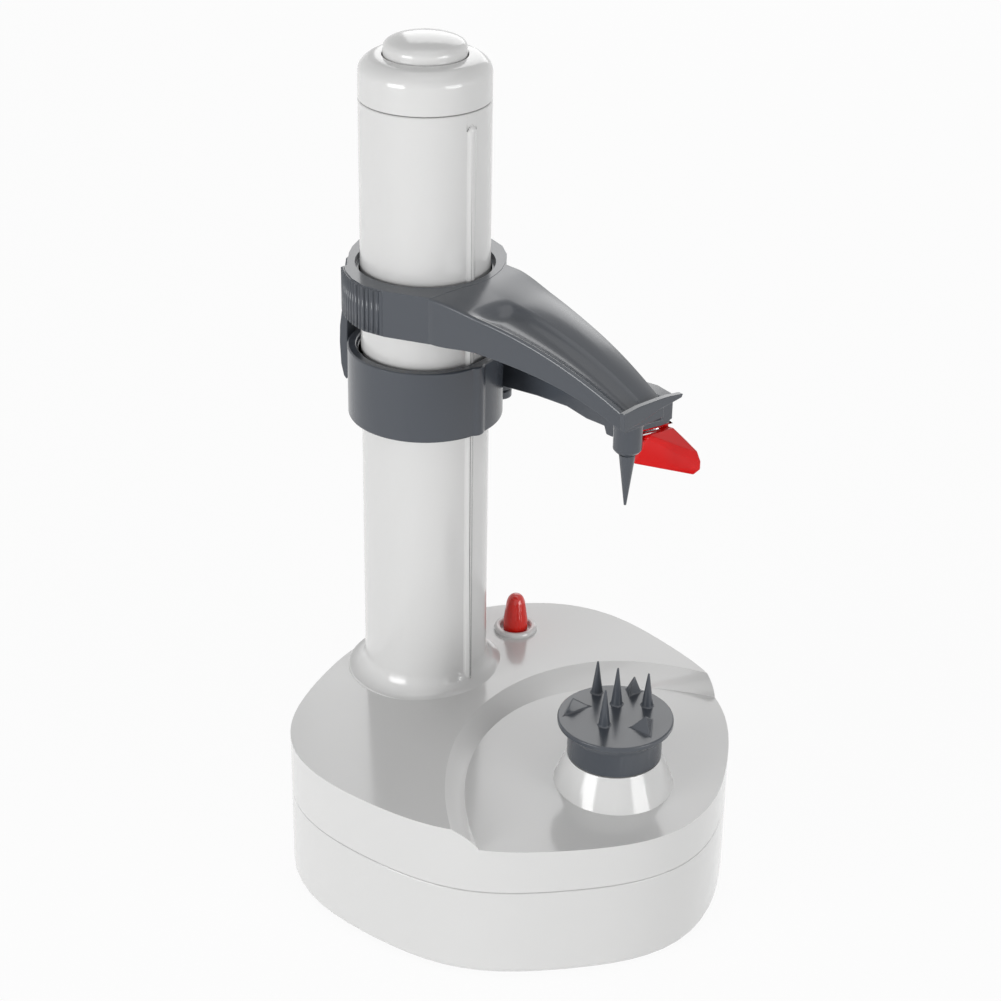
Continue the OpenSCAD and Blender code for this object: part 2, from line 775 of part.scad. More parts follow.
journal_h = gear_z - gap - plate_z + 1;
screw_top = cap_z - 3;
module lead_screw() {
    thread_end = thread_z + thread_rings * lead / thread_steps;
    color("silver")
    union() {
        rod(col_x, 0, plate_z - 0.95, journal_h + 0.95, journal_r);
        rod(col_x, 0, plate_top + 0.5 + gap, thread_z - plate_top - 0.3 - gap, screw_shaft_r);
        translate([col_x, 0, thread_z])
            thread();
        rod(col_x, 0, thread_end - 0.5, screw_top - 8 - thread_end, screw_shaft_r);
        rod(col_x, 0, screw_top - 9, 8, journal_r);
    }
}

bush_c_r = screw_shaft_r + 2;
module screw_bush() {
    color([0.72, 0.55, 0.3])
    difference() {
        union() {
            rod(col_x, 0, socket_floor, socket_t + 2, bush_c_r);
            rod(col_x, 0, socket_floor + socket_t, 1.5, bush_c_r + 1.5);
        }
        rod(col_x, 0, socket_floor - 1, 20, screw_shaft_r + run);
    }
}

column_screw_dirs = [60, 180, 300];
column_screw_r = 15.2;
slot_w = tongue_w + 2 * gap + 0.4;
slot_z = nut_z - travel - 1.5;
slot_h = travel + nut_h + 3;
rail_x = col_r + rail_out - rail_r;
module column() {
    arc = [for (a = [0 : 15 : 90])
        [col_r + (flare_r - col_r) * (1 - sin(a)), flare_z + 1 + (flare_h - 1) * (1 - cos(a))]];
    color([0.9, 0.9, 0.89])
    translate([col_x, 0, 0])
        difference() {
            union() {
                rotate_extrude()
                    polygon(concat([[col_in, col_z], [col_r, col_z], [col_r, flare_z], [flare_r, flare_z]],
                        arc, [[col_r, cap_seam_z - gap / 2], [col_in, cap_seam_z - gap / 2]]));
                for (a = column_screw_dirs)
                    rotate([0, 0, a])
                        difference() {
                            union() {
                                rod(column_screw_r, 0, col_z, 12, 3);
                                box([4, 3, 12], column_screw_r + 2.5, 0, col_z);
                            }
                            rod(column_screw_r, 0, col_z - 1, 12, pilot_r);
                        }
                rod(rail_x, 0, flare_z + flare_h - 4, cap_seam_z - 6 - flare_z - flare_h + 4, rail_r);
                translate([rail_x, 0, cap_seam_z - 6])
                    sphere(r = rail_r, $fn = 32);
            }
            box([8, slot_w, slot_h], -col_r + 1, 0, slot_z);
            rod(0, 0, flare_z + flare_h - 5, cap_seam_z - flare_z, col_in);
        }
}

module column_screws() {
    color("silver")
    for (a = column_screw_dirs)
        translate([col_x + column_screw_r * cos(a), column_screw_r * sin(a), socket_floor])
            screw(12);
}

disc_seat = cap_top - 4.5;
// Round shoulder of the cap, in from the column radius and down from the cap top
cap_shoulder = [[0, 5.4], [0.25, 4.2], [0.7, 3.2], [1.5, 2.2], [2.7, 1.2], [4, 0.5]];
module column_cap() {
    rim = disc_r + 0.3;
    plug_r = col_in - 0.1;
    color([0.9, 0.9, 0.89])
    translate([col_x, 0, 0])
        difference() {
            rotate_extrude()
                polygon(concat([[0, cap_z + 3], [col_in - 2, cap_z + 3], [col_in - 2, cap_z - 6], [plug_r, cap_z - 6],
                    [plug_r, cap_z], [col_r, cap_z]],
                    [for (p = cap_shoulder) [col_r - p[0], cap_top - p[1]]],
                    [[rim + 0.8, cap_top], [rim, cap_top], [rim, disc_seat], [0, disc_seat]]));
            cylinder(h = disc_seat + 1, r = 2.2);
        }
}

module cap_disc() {
    crown = 4.4;
    dome = [for (a = [0 : 10 : 90]) [disc_r * cos(a), cap_top + disc_h - crown + crown * pow(sin(a), 0.75)]];
    color([0.9, 0.9, 0.89])
    translate([col_x, 0, 0])
        union() {
            rotate_extrude()
                polygon(concat([[0, disc_seat + seat], [disc_r, disc_seat + seat]], dome));
            rod(0, 0, disc_seat - 2, 3, 2.1);
        }
}

// Journal bearing for the top of the screw, hung inside the cap
module top_bearing() {
    color([0.82, 0.82, 0.8])
    difference() {
        union() {
            rod(col_x, 0, screw_top - 8, 3, col_in - 0.1);
            rod(col_x, 0, screw_top - 8, 6, journal_r + 3);
        }
        rod(col_x, 0, screw_top - 9, 10, journal_r + run);
    }
}

// Drive nut: two pins ride in the thread, a tongue passes the slot
pin_nut_r = 0.8;
module drive_nut() {
    groove = nut_z + nut_h / 2;
    rise = (groove - thread_z) / lead;
    color([0.92, 0.88, 0.7])
    translate([col_x, 0, 0])
        union() {
            difference() {
                union() {
                    rod(0, 0, nut_z, nut_h, nut_r);
                    box([col_r + 1.2 - nut_r + 2, tongue_w, nut_h - 3], -(col_r + 1.2 + nut_r - 2) / 2, 0, nut_z + 1.5);
                }
                rod(0, 0, nut_z - 1, nut_h + 2, thread_r + 0.4);
                translate([-col_r - 5, 0, groove])
                    rotate([0, 90, 0])
                        cylinder(h = 9, r = pilot_r);
            }
            for (a = [90, 270])
                rotate([0, 0, a])
                    translate([core_r + 0.4, 0, thread_z + lead * (floor(rise) - floor(a / 180) + a / 360 + 0.5)])
                        rotate([0, 90, 0])
                            cylinder(h = nut_r - 1 - core_r, r = pin_nut_r);
        }
}

// Pieces of the carriage, in the column's own frame
pocket_d = 2;
module nut_screw() {
    color("silver")
    translate([col_x - collar_r + 1.6, 0, nut_z + nut_h / 2])
        rotate([0, 90, 0])
            screw(7);
}

pivot_x = pivot_r * cos(pivot_a);
pivot_y = pivot_r * sin(pivot_a);
knuckle_z = collar_z + 3.2;
knuckle_h = 12;
arm_spring_h = 5;
pocket_h = gap + knuckle_h + gap + arm_spring_h;
ridge_r = 3.4;
module collar_tube(r, z0, h, bump) {
    difference() {
        union() {
            rod(0, 0, z0, h, r);
            rod(r - ridge_r + bump, 0, z0, h, ridge_r);
        }
        rod(0, 0, z0 - 1, h + 2, col_r + slide);
        rod(rail_x, 0, z0 - 1, h + 2, rail_r + slide);
    }
}

module carriage_collar() {
    color([0.28, 0.3, 0.33])
    translate([col_x, 0, 0])
        difference() {
            union() {
                collar_tube(collar_r, collar_z, collar_h, 1);
                difference() {
                    rod(pivot_x, pivot_y, collar_z, collar_h, knuckle_r);
                    rod(0, 0, collar_z - 1, collar_h + 2, col_r + slide + 1);
                }
            }
            rod(pivot_x, pivot_y, knuckle_z - gap, pocket_h, knuckle_r + 0.5);
            rod(pivot_x, pivot_y, collar_z + 0.6, collar_h, arm_pin_r + seat);
            rod(0, 0, collar_z + collar_h - 1.6, 3, col_r + slide + 1);
            box([pocket_d + 6, tongue_w + 0.2, nut_h - 2.8], -col_r - slide - pocket_d / 2 + 2, 0, nut_z + 1.4);
            translate([-collar_r - 5, 0, nut_z + nut_h / 2])
                rotate([0, 90, 0]) {
                    cylinder(h = 15, r = pilot_r + 0.1);
                    cylinder(h = 5 + 1.6, r = screw_head_r + gap);
                }
        }
}

module arm_pin() {
    color("silver")
    rod(col_x + pivot_x, pivot_y, collar_z + 0.6, collar_h - 0.9, arm_pin_r);
}

spring_wire = 0.45;
module arm_spring() {
    turns = 4;
    room = arm_spring_h - 2 * spring_wire - gap;
    color("silver")
    translate([col_x + pivot_x, pivot_y, knuckle_z + knuckle_h + gap])
        helix(arm_pin_r + 1.1, spring_wire, room / turns, turns);
}

// Peeling arm: an arched bar with a knuckle, a stop leg and the plate for the head
// Its points are X from the column axis and Z from the underside of the collar
arm_rise = [[9, 15.2], [12.6, 15.2], [17, 17.2], [31, 20], [49, 23], [66, 25.4], [78, 26.7], [85, 25.8]];
arm_belly = [[85, 16.9], [80, 17.6], [78, 16.4], [66, 16.4], [64, 4.5], [61, 4.5], [60, 7.2],
    [52, 7], [43, 8.3], [29, 7.4], [15, 5.6], [9, 5.2]];
head_x = 74;
head_y = 25;
head_top = 15.8;
head_pin_r = 1.2;
head_plate = [[62, 17.5], [83.4, 17.5], [85, 24], [85, 28], [62, 28]];
module peel_arm() {
    color([0.28, 0.3, 0.33])
    translate([col_x, 0, collar_z])
        difference() {
            union() {
                rod(pivot_x, pivot_y, knuckle_z - collar_z, knuckle_h, knuckle_r);
                translate([0, pivot_y + peel_t / 2, 0])
                    rotate([90, 0, 0])
                        linear_extrude(peel_t)
                            polygon(concat(arm_rise, arm_belly));
                translate([0, 0, head_top + gap])
                    linear_extrude(2.4)
                        polygon(head_plate);
                rod(head_x, head_y, head_top + gap, 5, head_pin_r + 2);
            }
            rod(pivot_x, pivot_y, 0, collar_h, arm_pin_r + run);
            rod(head_x, head_y, head_top - 1, 5.6, head_pin_r + seat);
        }
}

module head_pin() {
    color("silver")
    translate([col_x + head_x, head_y, collar_z])
        union() {
            rod(0, 0, 3, head_top + gap + 3.6 - 3, head_pin_r);
            rod(0, 0, 3, 1.5, head_pin_r + 1);
        }
}

// Plough shaped blade head, its corners from the column axis and the collar underside
head_corners = [[77, 21.3, 1.5], [94.6, 29.2, 1.5], [96.5, 29.2, 3.6], [96.5, 29.2, 5.8], [95, 29.2, 8.5],
    [92.8, 29, 9.6], [82.7, 20.8, 11.8], [82.8, 21.3, 12.6], [86.2, 27.8, 13.8], [77, 20.6, 11.8],
    [71.8, 23, 11.8], [71.8, 23, 1.6], [71.8, 29.5, 11.8], [71.8, 29.5, 1.6], [88, 32, 3], [88, 32, 9]];
head_round = 0.8;
bar_ends = [[80.6, 18.9, 15], [83, 28.3, 15]];
blade_size = [10.6, 2.8, 0.4];
blade_at = [81.9, 23.6, 13.7];
blade_turn = atan2(9.4, 2.4);
module head_ball(p) {
    translate(p)
        sphere(r = head_round, $fn = 16);
}
module blade_strip(grow) {
    translate(blade_at)
        rotate([0, 0, blade_turn])
            cube([blade_size[0] + 2 * grow, blade_size[1] + 2 * grow, blade_size[2] + 2 * grow], center = true);
}
module blade_head() {
    color([0.8, 0.08, 0.06])
    translate([col_x, 0, collar_z])
        difference() {
            union() {
                hull()
                    for (p = head_corners)
                        head_ball(p);
                hull()
                    for (p = bar_ends)
                        head_ball(p);
                for (p = bar_ends)
                    rod(p[0], p[1], 10.5, 4.5, head_round);
                rod(head_x, head_y, 11, head_top - 11, head_pin_r + 1.4);
            }
            rod(head_x, head_y, -3, 25, head_pin_r + run);
            rod(head_x, head_y, -5, 8 + 1.5 + gap, head_pin_r + 1 + gap);
            blade_strip(seat);
        }
}

module blade() {
    color("silver")
    translate([col_x, 0, collar_z])
        blade_strip(0);
}

// Spike arm: curved beam that tapers in plan, hollow above and below
arm_root_x = 26;
arm_tip_x = 98.5;
arm_len = arm_tip_x - arm_root_x;
arm_steps = 10;
top_drop = 17.7;
belly_drop = 11.4;
function along(x) = max(0, (x - arm_root_x) / arm_len);
function top_z(x) = ring_h - 1.3 - top_drop * pow(along(x), 2.15);
function belly_z(x) = 2.2 - belly_drop * pow(along(x), 3.2);
function near_y(x) = -(root_w + (tip_w - root_w) * along(x)) / 2;
function far_y(x) = (root_w - 7 + (tip_w - root_w + 7) * along(x)) / 2;
module side_cut(a, b, above, below) {
    xs = [for (i = [0 : arm_steps]) a + (b - a) * i / arm_steps];
    translate([0, root_w, 0])
        rotate([90, 0, 0])
            linear_extrude(2 * root_w)
                polygon(concat([for (x = xs) [x, above(x)]],
                    [for (i = [arm_steps : -1 : 0]) [xs[i], below(xs[i])]]));
}
module plan_cut(a, b, inset) {
    translate([0, 0, -20])
        linear_extrude(60)
            polygon([[a, near_y(a) + inset], [b, near_y(b) + inset], [b, far_y(b) - inset], [a, far_y(a) - inset]]);
}
trough_floor = 2.6;
function floor_top(x) = top_z(x) - 1.5 - 4.5 * sin(180 * min(1, along(x) * 0.8 + 0.1));
function floor_low(x) = floor_top(x) - trough_floor;
function sky(x) = top_z(x) + 5;
function deep(x) = belly_z(x) - 5;
bore_top = 12;

// Outline of the upper ring, direction and radius: grip pad, plain ring, housing at the back
ring_shape = [[-40, 32.2], [-69.5, 29.3], [-85, 29.4], [-99, 28.4], [-113, 27.5], [-121, 27], [-126, 25.6],
    [-136, 25.3], [-148, 26.2], [-160, 27.4], [-175, 29.6], [-190, 30.4], [-210, 30.6], [-230, 30.5],
    [-250, 30.3], [-270, 30], [-285, 29], [-300, 27.6], [-315, 26.4], [-330, 25.9], [-345, 25.7]];
grip_from = -123;
grip_to = -72;
grip_ribs = 20;
rib_r = 0.9;
// Radius of the rib centres by direction
function pad_r(a) = lookup(a, [[-123, 26.6], [-113, 27], [-99, 27.9], [-85, 28.8], [-69.5, 28.8]]);

// Release lever with its pocket and pin, measured outwards along its own direction
lever_w = 11;
lever_ring_r = 25.3;
lever_pin_z = 7;
lever_pin_r = 1;
lever_pocket_r = 23.1;
lever_nose_z = 3;
lever_nose_w = 4.4;
lever_spring_z = 12.4;
lug_t = 2;
tip_lip = [[-10.6, -1.7], [-3.7, -1.2], [5.7, -1.6], [9.5, -1.9], [16.1, -3], [15.5, -4.1], [5.9, -5],
    [-2.4, -6.8], [-10.3, -7.4]];
module holder_arm() {
    color([0.28, 0.3, 0.33])
    translate([col_x, 0, ring_z])
        difference() {
            union() {
                linear_extrude(ring_h)
                    polygon([for (p = ring_shape) [p[1] * cos(p[0]), p[1] * sin(p[0])]]);
                rod(0, 0, 0, ring_h, ring_r);
                intersection() {
                    side_cut(8, arm_tip_x, function(x) top_z(x), function(x) belly_z(x));
                    plan_cut(8, arm_tip_x, 0);
                }
                for (i = [0 : grip_ribs])
                    let (a = grip_from + i * (grip_to - grip_from) / grip_ribs)
                        rod(pad_r(a) * cos(a), pad_r(a) * sin(a), 0.4, ring_h - 0.8, rib_r);
                rotate([0, 0, lever_a])
                    for (side = [-1, 1])
                        box([5.1, lug_t, 9], 24.55, side * (lever_w / 2 + gap + lug_t / 2), 1.7);
                translate([axis_gap, 0, boss_z - ring_z + 1])
                    cylinder(h = bore_top + 2.5, r = boss_r);
                translate([axis_gap, 0, boss_z - ring_z])
                    cylinder(h = 1, r1 = boss_r - 0.8, r2 = boss_r);
                translate([arm_tip_x - 0.2, 0, 0])
                    rotate([90, 0, 90])
                        linear_extrude(1.6)
                            polygon(tip_lip);
            }
            intersection() {
                side_cut(arm_root_x + 3, arm_tip_x - 3, function(x) sky(x), function(x) floor_top(x));
                plan_cut(arm_root_x + 3, arm_tip_x - 3, trough_t);
            }
            intersection() {
                side_cut(arm_root_x + 2, 78, function(x) floor_low(x), function(x) deep(x));
                plan_cut(arm_root_x + 2, 78, trough_t);
            }
            rod(0, 0, -1, ring_h + 2, col_r + slide);
            rod(0, 0, ring_h - 2, 3, col_r + slide + 1.2);
            rod(rail_x, 0, -1, ring_h + 2, rail_r + slide);
            rod(axis_gap, 0, boss_z - ring_z - 1, bore_top + 1, spindle_pin_r + run);
            rotate([0, 0, lever_a]) {
                translate([lever_pocket_r, -lever_w / 2 - gap, -1])
                    cube([20, lever_w + 2 * gap, ring_h - 0.6]);
                translate([lever_ring_r, lever_w / 2 + lug_t + 1, lever_pin_z])
                    rotate([90, 0, 0])
                        cylinder(h = lever_w + 2 * lug_t + 2, r = lever_pin_r + seat);
                box([5, lever_nose_w + 0.8, lever_nose_z + 3], col_r + 1.5, 0, -1);
            }
        }
}

spindle_pin_r = 2;
module food_spike() {
    color([0.28, 0.3, 0.33])
    translate([col_x + axis_gap, 0, boss_z])
        union() {
            rod(0, 0, -0.5, bore_top - 0.8, spindle_pin_r);
            rod(0, 0, -0.5 - gap, 0.5, spike_r);
            translate([0, 0, -gap - 0.4 - spike_h])
                cylinder(h = spike_h, r1 = 0.4, r2 = spike_r);
        }
}

lever_low = 162.9 - ring_z;
lever_profile = [[24.7, 13.8], [26.8, 13.8], [27.4, 10], [27.5, 4], [28.9, -6], [29.6, -11], [29.8, -17],
    [29.4, -25], [28.4, lever_low + 1.2], [27.4, lever_low], [26.7, lever_low + 1.4], [26.7, -13],
    [26.3, -4], [25.4, 0.5], [24.4, 1.4], [col_r + 0.5, 1.8], [col_r + 0.5, lever_nose_z + 0.2],
    [23.5, 4], [23.6, 7], [24.2, 10]];
module release_lever() {
    color([0.28, 0.3, 0.33])
    translate([col_x, 0, ring_z])
        rotate([0, 0, lever_a])
            difference() {
                union() {
                    translate([0, lever_w / 2, 0])
                        rotate([90, 0, 0])
                            linear_extrude(lever_w)
                                polygon(lever_profile);
                    translate([lever_ring_r, lever_w / 2, lever_pin_z])
                        rotate([90, 0, 0])
                            cylinder(h = lever_w, r = lever_pin_r + 1);
                }
                for (side = [-1, 1])
                    box([3, lever_w, 6], col_r + 0.4, side * (lever_w + lever_nose_w) / 2, 0);
                translate([lever_ring_r, lever_w, lever_pin_z])
                    rotate([90, 0, 0])
                        cylinder(h = 2 * lever_w, r = lever_pin_r + run);
            }
}

module lever_pin() {
    over = gap + 1.6;
    color("silver")
    translate([col_x, 0, ring_z])
        rotate([0, 0, lever_a])
            translate([lever_ring_r, lever_w / 2 + over, lever_pin_z])
                rotate([90, 0, 0])
                    cylinder(h = lever_w + 2 * over, r = lever_pin_r);
}

module lever_spring() {
    color("silver")
    translate([col_x, 0, ring_z])
        rotate([0, 0, lever_a])
            translate([lever_pocket_r + 0.05, 0, lever_spring_z])
                rotate([0, 90, 0])
                    helix(1.3, 0.11, 0.26, 2);
}

module start_button() {
    crown = 3.2;
    color([0.85, 0.12, 0.08])
    translate([button_x, button_y, 0])
        union() {
            rotate_extrude()
                polygon(concat([[0, button_flange_z], [button_r + 1.6, button_flange_z],
                    [button_r + 1.6, button_flange_z + button_flange_t], [button_r, button_flange_z + button_flange_t],
                    [button_r, button_rim_z + 2.5], [crown + 0.2, button_top - crown]],
                    [for (a = [15 : 15 : 90]) [crown * cos(a), button_top - crown + crown * sin(a)]]));
            rod(0, 0, switch_z + switch_h + plunger_h + button_travel + 0.2, 8, 3);
        }
}

module button_spring() {
    turns = 5;
    wire = 0.4;
    room = button_flange_z - switch_z - switch_h - 2 * wire - gap;
    color("silver")
    translate([button_x, button_y, switch_z + switch_h + gap / 2])
        helix(4.2, wire, room / turns, turns);
}

module start_switch() {
    color([0.2, 0.2, 0.22])
    translate([button_x, button_y, switch_z])
        union() {
            box([11, 11, switch_h - 0.1], 0, 0, 0.1);
            rod(0, 0, switch_h - 0.5, plunger_h + 0.5, 1.7);
        }
}

module limit_switch() {
    x = col_x + 14;
    color([0.2, 0.2, 0.22])
    union() {
        box([6, 9, 14], x, 0, socket_floor + socket_t + 0.1);
        rod(x - 4.4, 0, socket_floor + socket_t + 10, nut_z - travel - gap - socket_floor - socket_t - 10, 0.9);
        box([4, 2.4, 2], x - 3.6, 0, socket_floor + socket_t + 10);
    }
}

module battery_cells() {
    nub_r = 2.6;
    nub_h = 1.2;
    color([0.45, 0.5, 0.55])
    for (i = [0 : cells - 1])
        translate([bay_x, bay_y + (i - (cells - 1) / 2) * (cell_d + cell_gap), cell_z])
            rotate([0, i % 2 == 0 ? 90 : -90, 0]) {
                translate([0, 0, -cell_l / 2])
                    cylinder(h = cell_l - nub_h, r = cell_d / 2);
                translate([0, 0, cell_l / 2 - nub_h - 0.1])
                    cylinder(h = nub_h, r = nub_r);
            }
}

module battery_contacts() {
    plate = 0.5;
    color("silver")
    for (i = [0 : cells - 1]) {
        s = i % 2 == 0 ? -1 : 1;
        y = bay_y + (i - (cells - 1) / 2) * (cell_d + cell_gap);
        box([plate, 11, 12], bay_x + s * (bay_l / 2 - plate / 2 - seat), y, cell_z - 6);
        box([plate, 11, 12], bay_x - s * (bay_l / 2 - plate / 2 - seat), y, cell_z - 6);
        translate([bay_x + s * (bay_l / 2 - plate), y, cell_z])
            rotate([0, -s * 90, 0])
                translate([0, 0, -0.2])
                    cylinder(h = contact_t - plate - 0.1, r1 = 4, r2 = 2);
    }
}

base_tub();
base_cover();
battery_door();
door_screw();
rubber_feet();
base_screws();
gear_plate();
plate_screws();
motor();
motor_shaft();
motor_pinion();
first_gear();
second_gear();
idler_gear();
gear_pins();
gear_clips();
spindle_shaft();
spindle_gear();
spindle_bush();
food_holder();
screw_gear();
lead_screw();
screw_bush();
column();
column_screws();
column_cap();
cap_disc();
top_bearing();
drive_nut();
nut_screw();
carriage_collar();
arm_pin();
arm_spring();
peel_arm();
head_pin();
blade_head();
blade();
holder_arm();
food_spike();
release_lever();
lever_pin();
lever_spring();
start_button();
button_spring();
start_switch();
limit_switch();
battery_cells();
battery_contacts();
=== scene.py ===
import json
import math

import bmesh
import bpy
from mathutils import Matrix, Vector
from mathutils.geometry import delaunay_2d_cdt


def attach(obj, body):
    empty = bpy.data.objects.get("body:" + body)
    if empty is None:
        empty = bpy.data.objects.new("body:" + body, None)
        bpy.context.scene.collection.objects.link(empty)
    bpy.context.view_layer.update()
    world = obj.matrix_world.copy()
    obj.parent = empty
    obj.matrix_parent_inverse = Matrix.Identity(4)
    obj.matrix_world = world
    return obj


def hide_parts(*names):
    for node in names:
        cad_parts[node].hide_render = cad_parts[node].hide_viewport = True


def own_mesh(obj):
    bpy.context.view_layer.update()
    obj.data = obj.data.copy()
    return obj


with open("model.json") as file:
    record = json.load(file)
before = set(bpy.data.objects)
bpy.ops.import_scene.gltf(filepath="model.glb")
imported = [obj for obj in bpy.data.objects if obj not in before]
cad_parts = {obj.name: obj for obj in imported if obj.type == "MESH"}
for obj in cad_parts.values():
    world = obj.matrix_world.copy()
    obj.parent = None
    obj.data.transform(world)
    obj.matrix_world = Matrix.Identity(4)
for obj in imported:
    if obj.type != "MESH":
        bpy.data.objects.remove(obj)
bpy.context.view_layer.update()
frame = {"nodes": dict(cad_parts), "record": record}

scene = bpy.context.scene
bodyOf = {node: body for body, nodes in frame["record"]["behaviour"]["bodies"].items() for node in nodes}
slotOf = {row["node"]: row["material_slot"] for row in frame["record"]["subparts"]}
print("stage: frame loaded,", len(frame["nodes"]), "nodes")

# one millimetre in metres, and in millimetres the places that the arm, the ribs and the cover share
millimetre = 0.001
columnX = -47.9
spindleX = 44.3
ringOrigin = (columnX, 0.0, 193.3)


# camera, from the photograph's own viewpoint
cameraSettings = {
    "place": (0.471849, -0.479011, 0.490979),
    "right": (0.69882, 0.71516, 0.01411),
    "up": (-0.34074, 0.31548, 0.88564),
    "ahead": (-0.62892, 0.62372, -0.46415),
    "lens": 83.0,
}


def makeCamera(settings):
    data = bpy.data.cameras.new("photoCamera")
    data.sensor_width = 36
    data.lens = settings["lens"]
    data.clip_start = 0.01
    data.clip_end = 50
    camera = bpy.data.objects.new("photoCamera", data)
    scene.collection.objects.link(camera)
    right, up, back = Vector(settings["right"]), Vector(settings["up"]), -Vector(settings["ahead"])
    turn = Matrix((right, up, back)).transposed().to_4x4()
    camera.matrix_world = Matrix.Translation(Vector(settings["place"])) @ turn
    scene.camera = camera


makeCamera(cameraSettings)
print("stage: camera")


# shared shader groups: each puts out a colour, a roughness and a height
mouldedSettings = {"driftScale": 14.0, "driftDetail": 3.0, "peelDetail": 2.0, "smearScale": 55.0,
    "smearDetail": 5.0, "smearRoughness": 0.62, "bumpDistance": 0.0002}
metalSettings = {"stretch": (1.0, 1.0, 18.0), "lineScale": 260.0, "lineDetail": 4.0, "lineHaze": 0.16,
    "spotScale": 420.0, "spotDetail": 3.0, "spotShare": 0.5, "bump": 0.05, "bumpDistance": 0.0001}


def startGroup(name, numbers):
    group = bpy.data.node_groups.new(name, "ShaderNodeTree")
    inputs = [("Vector", "NodeSocketVector"), ("Colour", "NodeSocketColor"), ("Shade", "NodeSocketColor")]
    outputs = [("Colour", "NodeSocketColor"), ("Roughness", "NodeSocketFloat"), ("Height", "NodeSocketFloat")]
    for label, kind in inputs + [(number, "NodeSocketFloat") for number in numbers]:
        group.interface.new_socket(name=label, in_out="INPUT", socket_type=kind)
    for label, kind in outputs:
        group.interface.new_socket(name=label, in_out="OUTPUT", socket_type=kind)
    return group, group.nodes.new("NodeGroupInput"), group.nodes.new("NodeGroupOutput")


def finishGroup(group, end, colour, roughness, height):
    for label, value in (("Colour", colour), ("Roughness", roughness), ("Height", height)):
        group.links.new(value, end.inputs[label])
    return group


def linkOrSet(tree, value, socket):
    if isinstance(value, (int, float)):
        socket.default_value = value
    else:
        tree.links.new(value, socket)


def addMath(tree, kind, first, second):
    node = tree.nodes.new("ShaderNodeMath")
    node.operation = kind
    linkOrSet(tree, first, node.inputs[0])
    linkOrSet(tree, second, node.inputs[1])
    return node.outputs[0]


def addNoise(tree, vector, scale, detail, roughness=0.5):
    node = tree.nodes.new("ShaderNodeTexNoise")
    node.inputs["Detail"].default_value = detail
    node.inputs["Roughness"].default_value = roughness
    tree.links.new(vector, node.inputs["Vector"])
    linkOrSet(tree, scale, node.inputs["Scale"])
    return node.outputs["Fac"]


def addColourMix(tree, factor, first, second):
    node = tree.nodes.new("ShaderNodeMix")
    node.data_type = "RGBA"
    for label, value in (("Factor", factor), ("A", first), ("B", second)):
        socket = [place for place in node.inputs if place.name == label and place.enabled][0]
        tree.links.new(value, socket)
    return [place for place in node.outputs if place.enabled][0]


def makeMouldedSkin(settings):
    # moulded plastic: slow shade drift, fine orange peel and hazy patches
    group, start, end = startGroup("mouldedSkin", ("Drift", "Peel Scale", "Gloss", "Haze"))
    vector = start.outputs["Vector"]
    drift = addNoise(group, vector, settings["driftScale"], settings["driftDetail"])
    peel = addNoise(group, vector, start.outputs["Peel Scale"], settings["peelDetail"])
    smear = addNoise(group, vector, settings["smearScale"], settings["smearDetail"],
        settings["smearRoughness"])
    amount = addMath(group, "MULTIPLY", drift, start.outputs["Drift"])
    colour = addColourMix(group, amount, start.outputs["Colour"], start.outputs["Shade"])
    haze = addMath(group, "MULTIPLY", smear, start.outputs["Haze"])
    roughness = addMath(group, "ADD", start.outputs["Gloss"], haze)
    return finishGroup(group, end, colour, roughness, peel)


def makeMetalSkin(settings):
    # drawn or turned metal: fine lines across Z and small darker spots
    group, start, end = startGroup("metalSkin", ("Line Scale", "Gloss"))
    stretch = group.nodes.new("ShaderNodeVectorMath")
    stretch.operation = "MULTIPLY"
    stretch.inputs[1].default_value = settings["stretch"]
    group.links.new(start.outputs["Vector"], stretch.inputs[0])
    scale = addMath(group, "MULTIPLY", start.outputs["Line Scale"], settings["lineScale"])
    lines = addNoise(group, stretch.outputs[0], scale, settings["lineDetail"])
    spots = addNoise(group, start.outputs["Vector"], settings["spotScale"], settings["spotDetail"])
    amount = addMath(group, "MULTIPLY", spots, settings["spotShare"])
    colour = addColourMix(group, amount, start.outputs["Colour"], start.outputs["Shade"])
    haze = addMath(group, "MULTIPLY", lines, settings["lineHaze"])
    roughness = addMath(group, "ADD", start.outputs["Gloss"], haze)
    return finishGroup(group, end, colour, roughness, lines)


mouldedSkin = makeMouldedSkin(mouldedSettings)
metalSkin = makeMetalSkin(metalSettings)
print("stage: shader groups")


# materials, one for each of the record's slots
def finishMaterial(name, group, values, shader, bump, bumpDistance):
    material = bpy.data.materials.new(name)
    material.use_nodes = True
    tree = material.node_tree
    principled = tree.nodes["Principled BSDF"]
    coordinates = tree.nodes.new("ShaderNodeTexCoord")
    skin = tree.nodes.new("ShaderNodeGroup")
    skin.node_tree = group
    tree.links.new(coordinates.outputs["Object"], skin.inputs["Vector"])
    for label, value in values.items():
        skin.inputs[label].default_value = value
    for label, value in shader.items():
        principled.inputs[label].default_value = value
    tree.links.new(skin.outputs["Colour"], principled.inputs["Base Color"])
    tree.links.new(skin.outputs["Roughness"], principled.inputs["Roughness"])
    relief = tree.nodes.new("ShaderNodeBump")
    relief.inputs["Strength"].default_value = bump
    relief.inputs["Distance"].default_value = bumpDistance
    tree.links.new(skin.outputs["Height"], relief.inputs["Height"])
    tree.links.new(relief.outputs["Normal"], principled.inputs["Normal"])
    return material


def plastic(look):
    values = {"Colour": (*look["colour"], 1), "Shade": (*look["shade"], 1), "Gloss": look["gloss"],
        "Haze": look["haze"], "Drift": look["drift"], "Peel Scale": look["peel"]}
    return finishMaterial(look["name"], mouldedSkin, values, look.get("shader", {}), look["bump"],
        mouldedSettings["bumpDistance"])


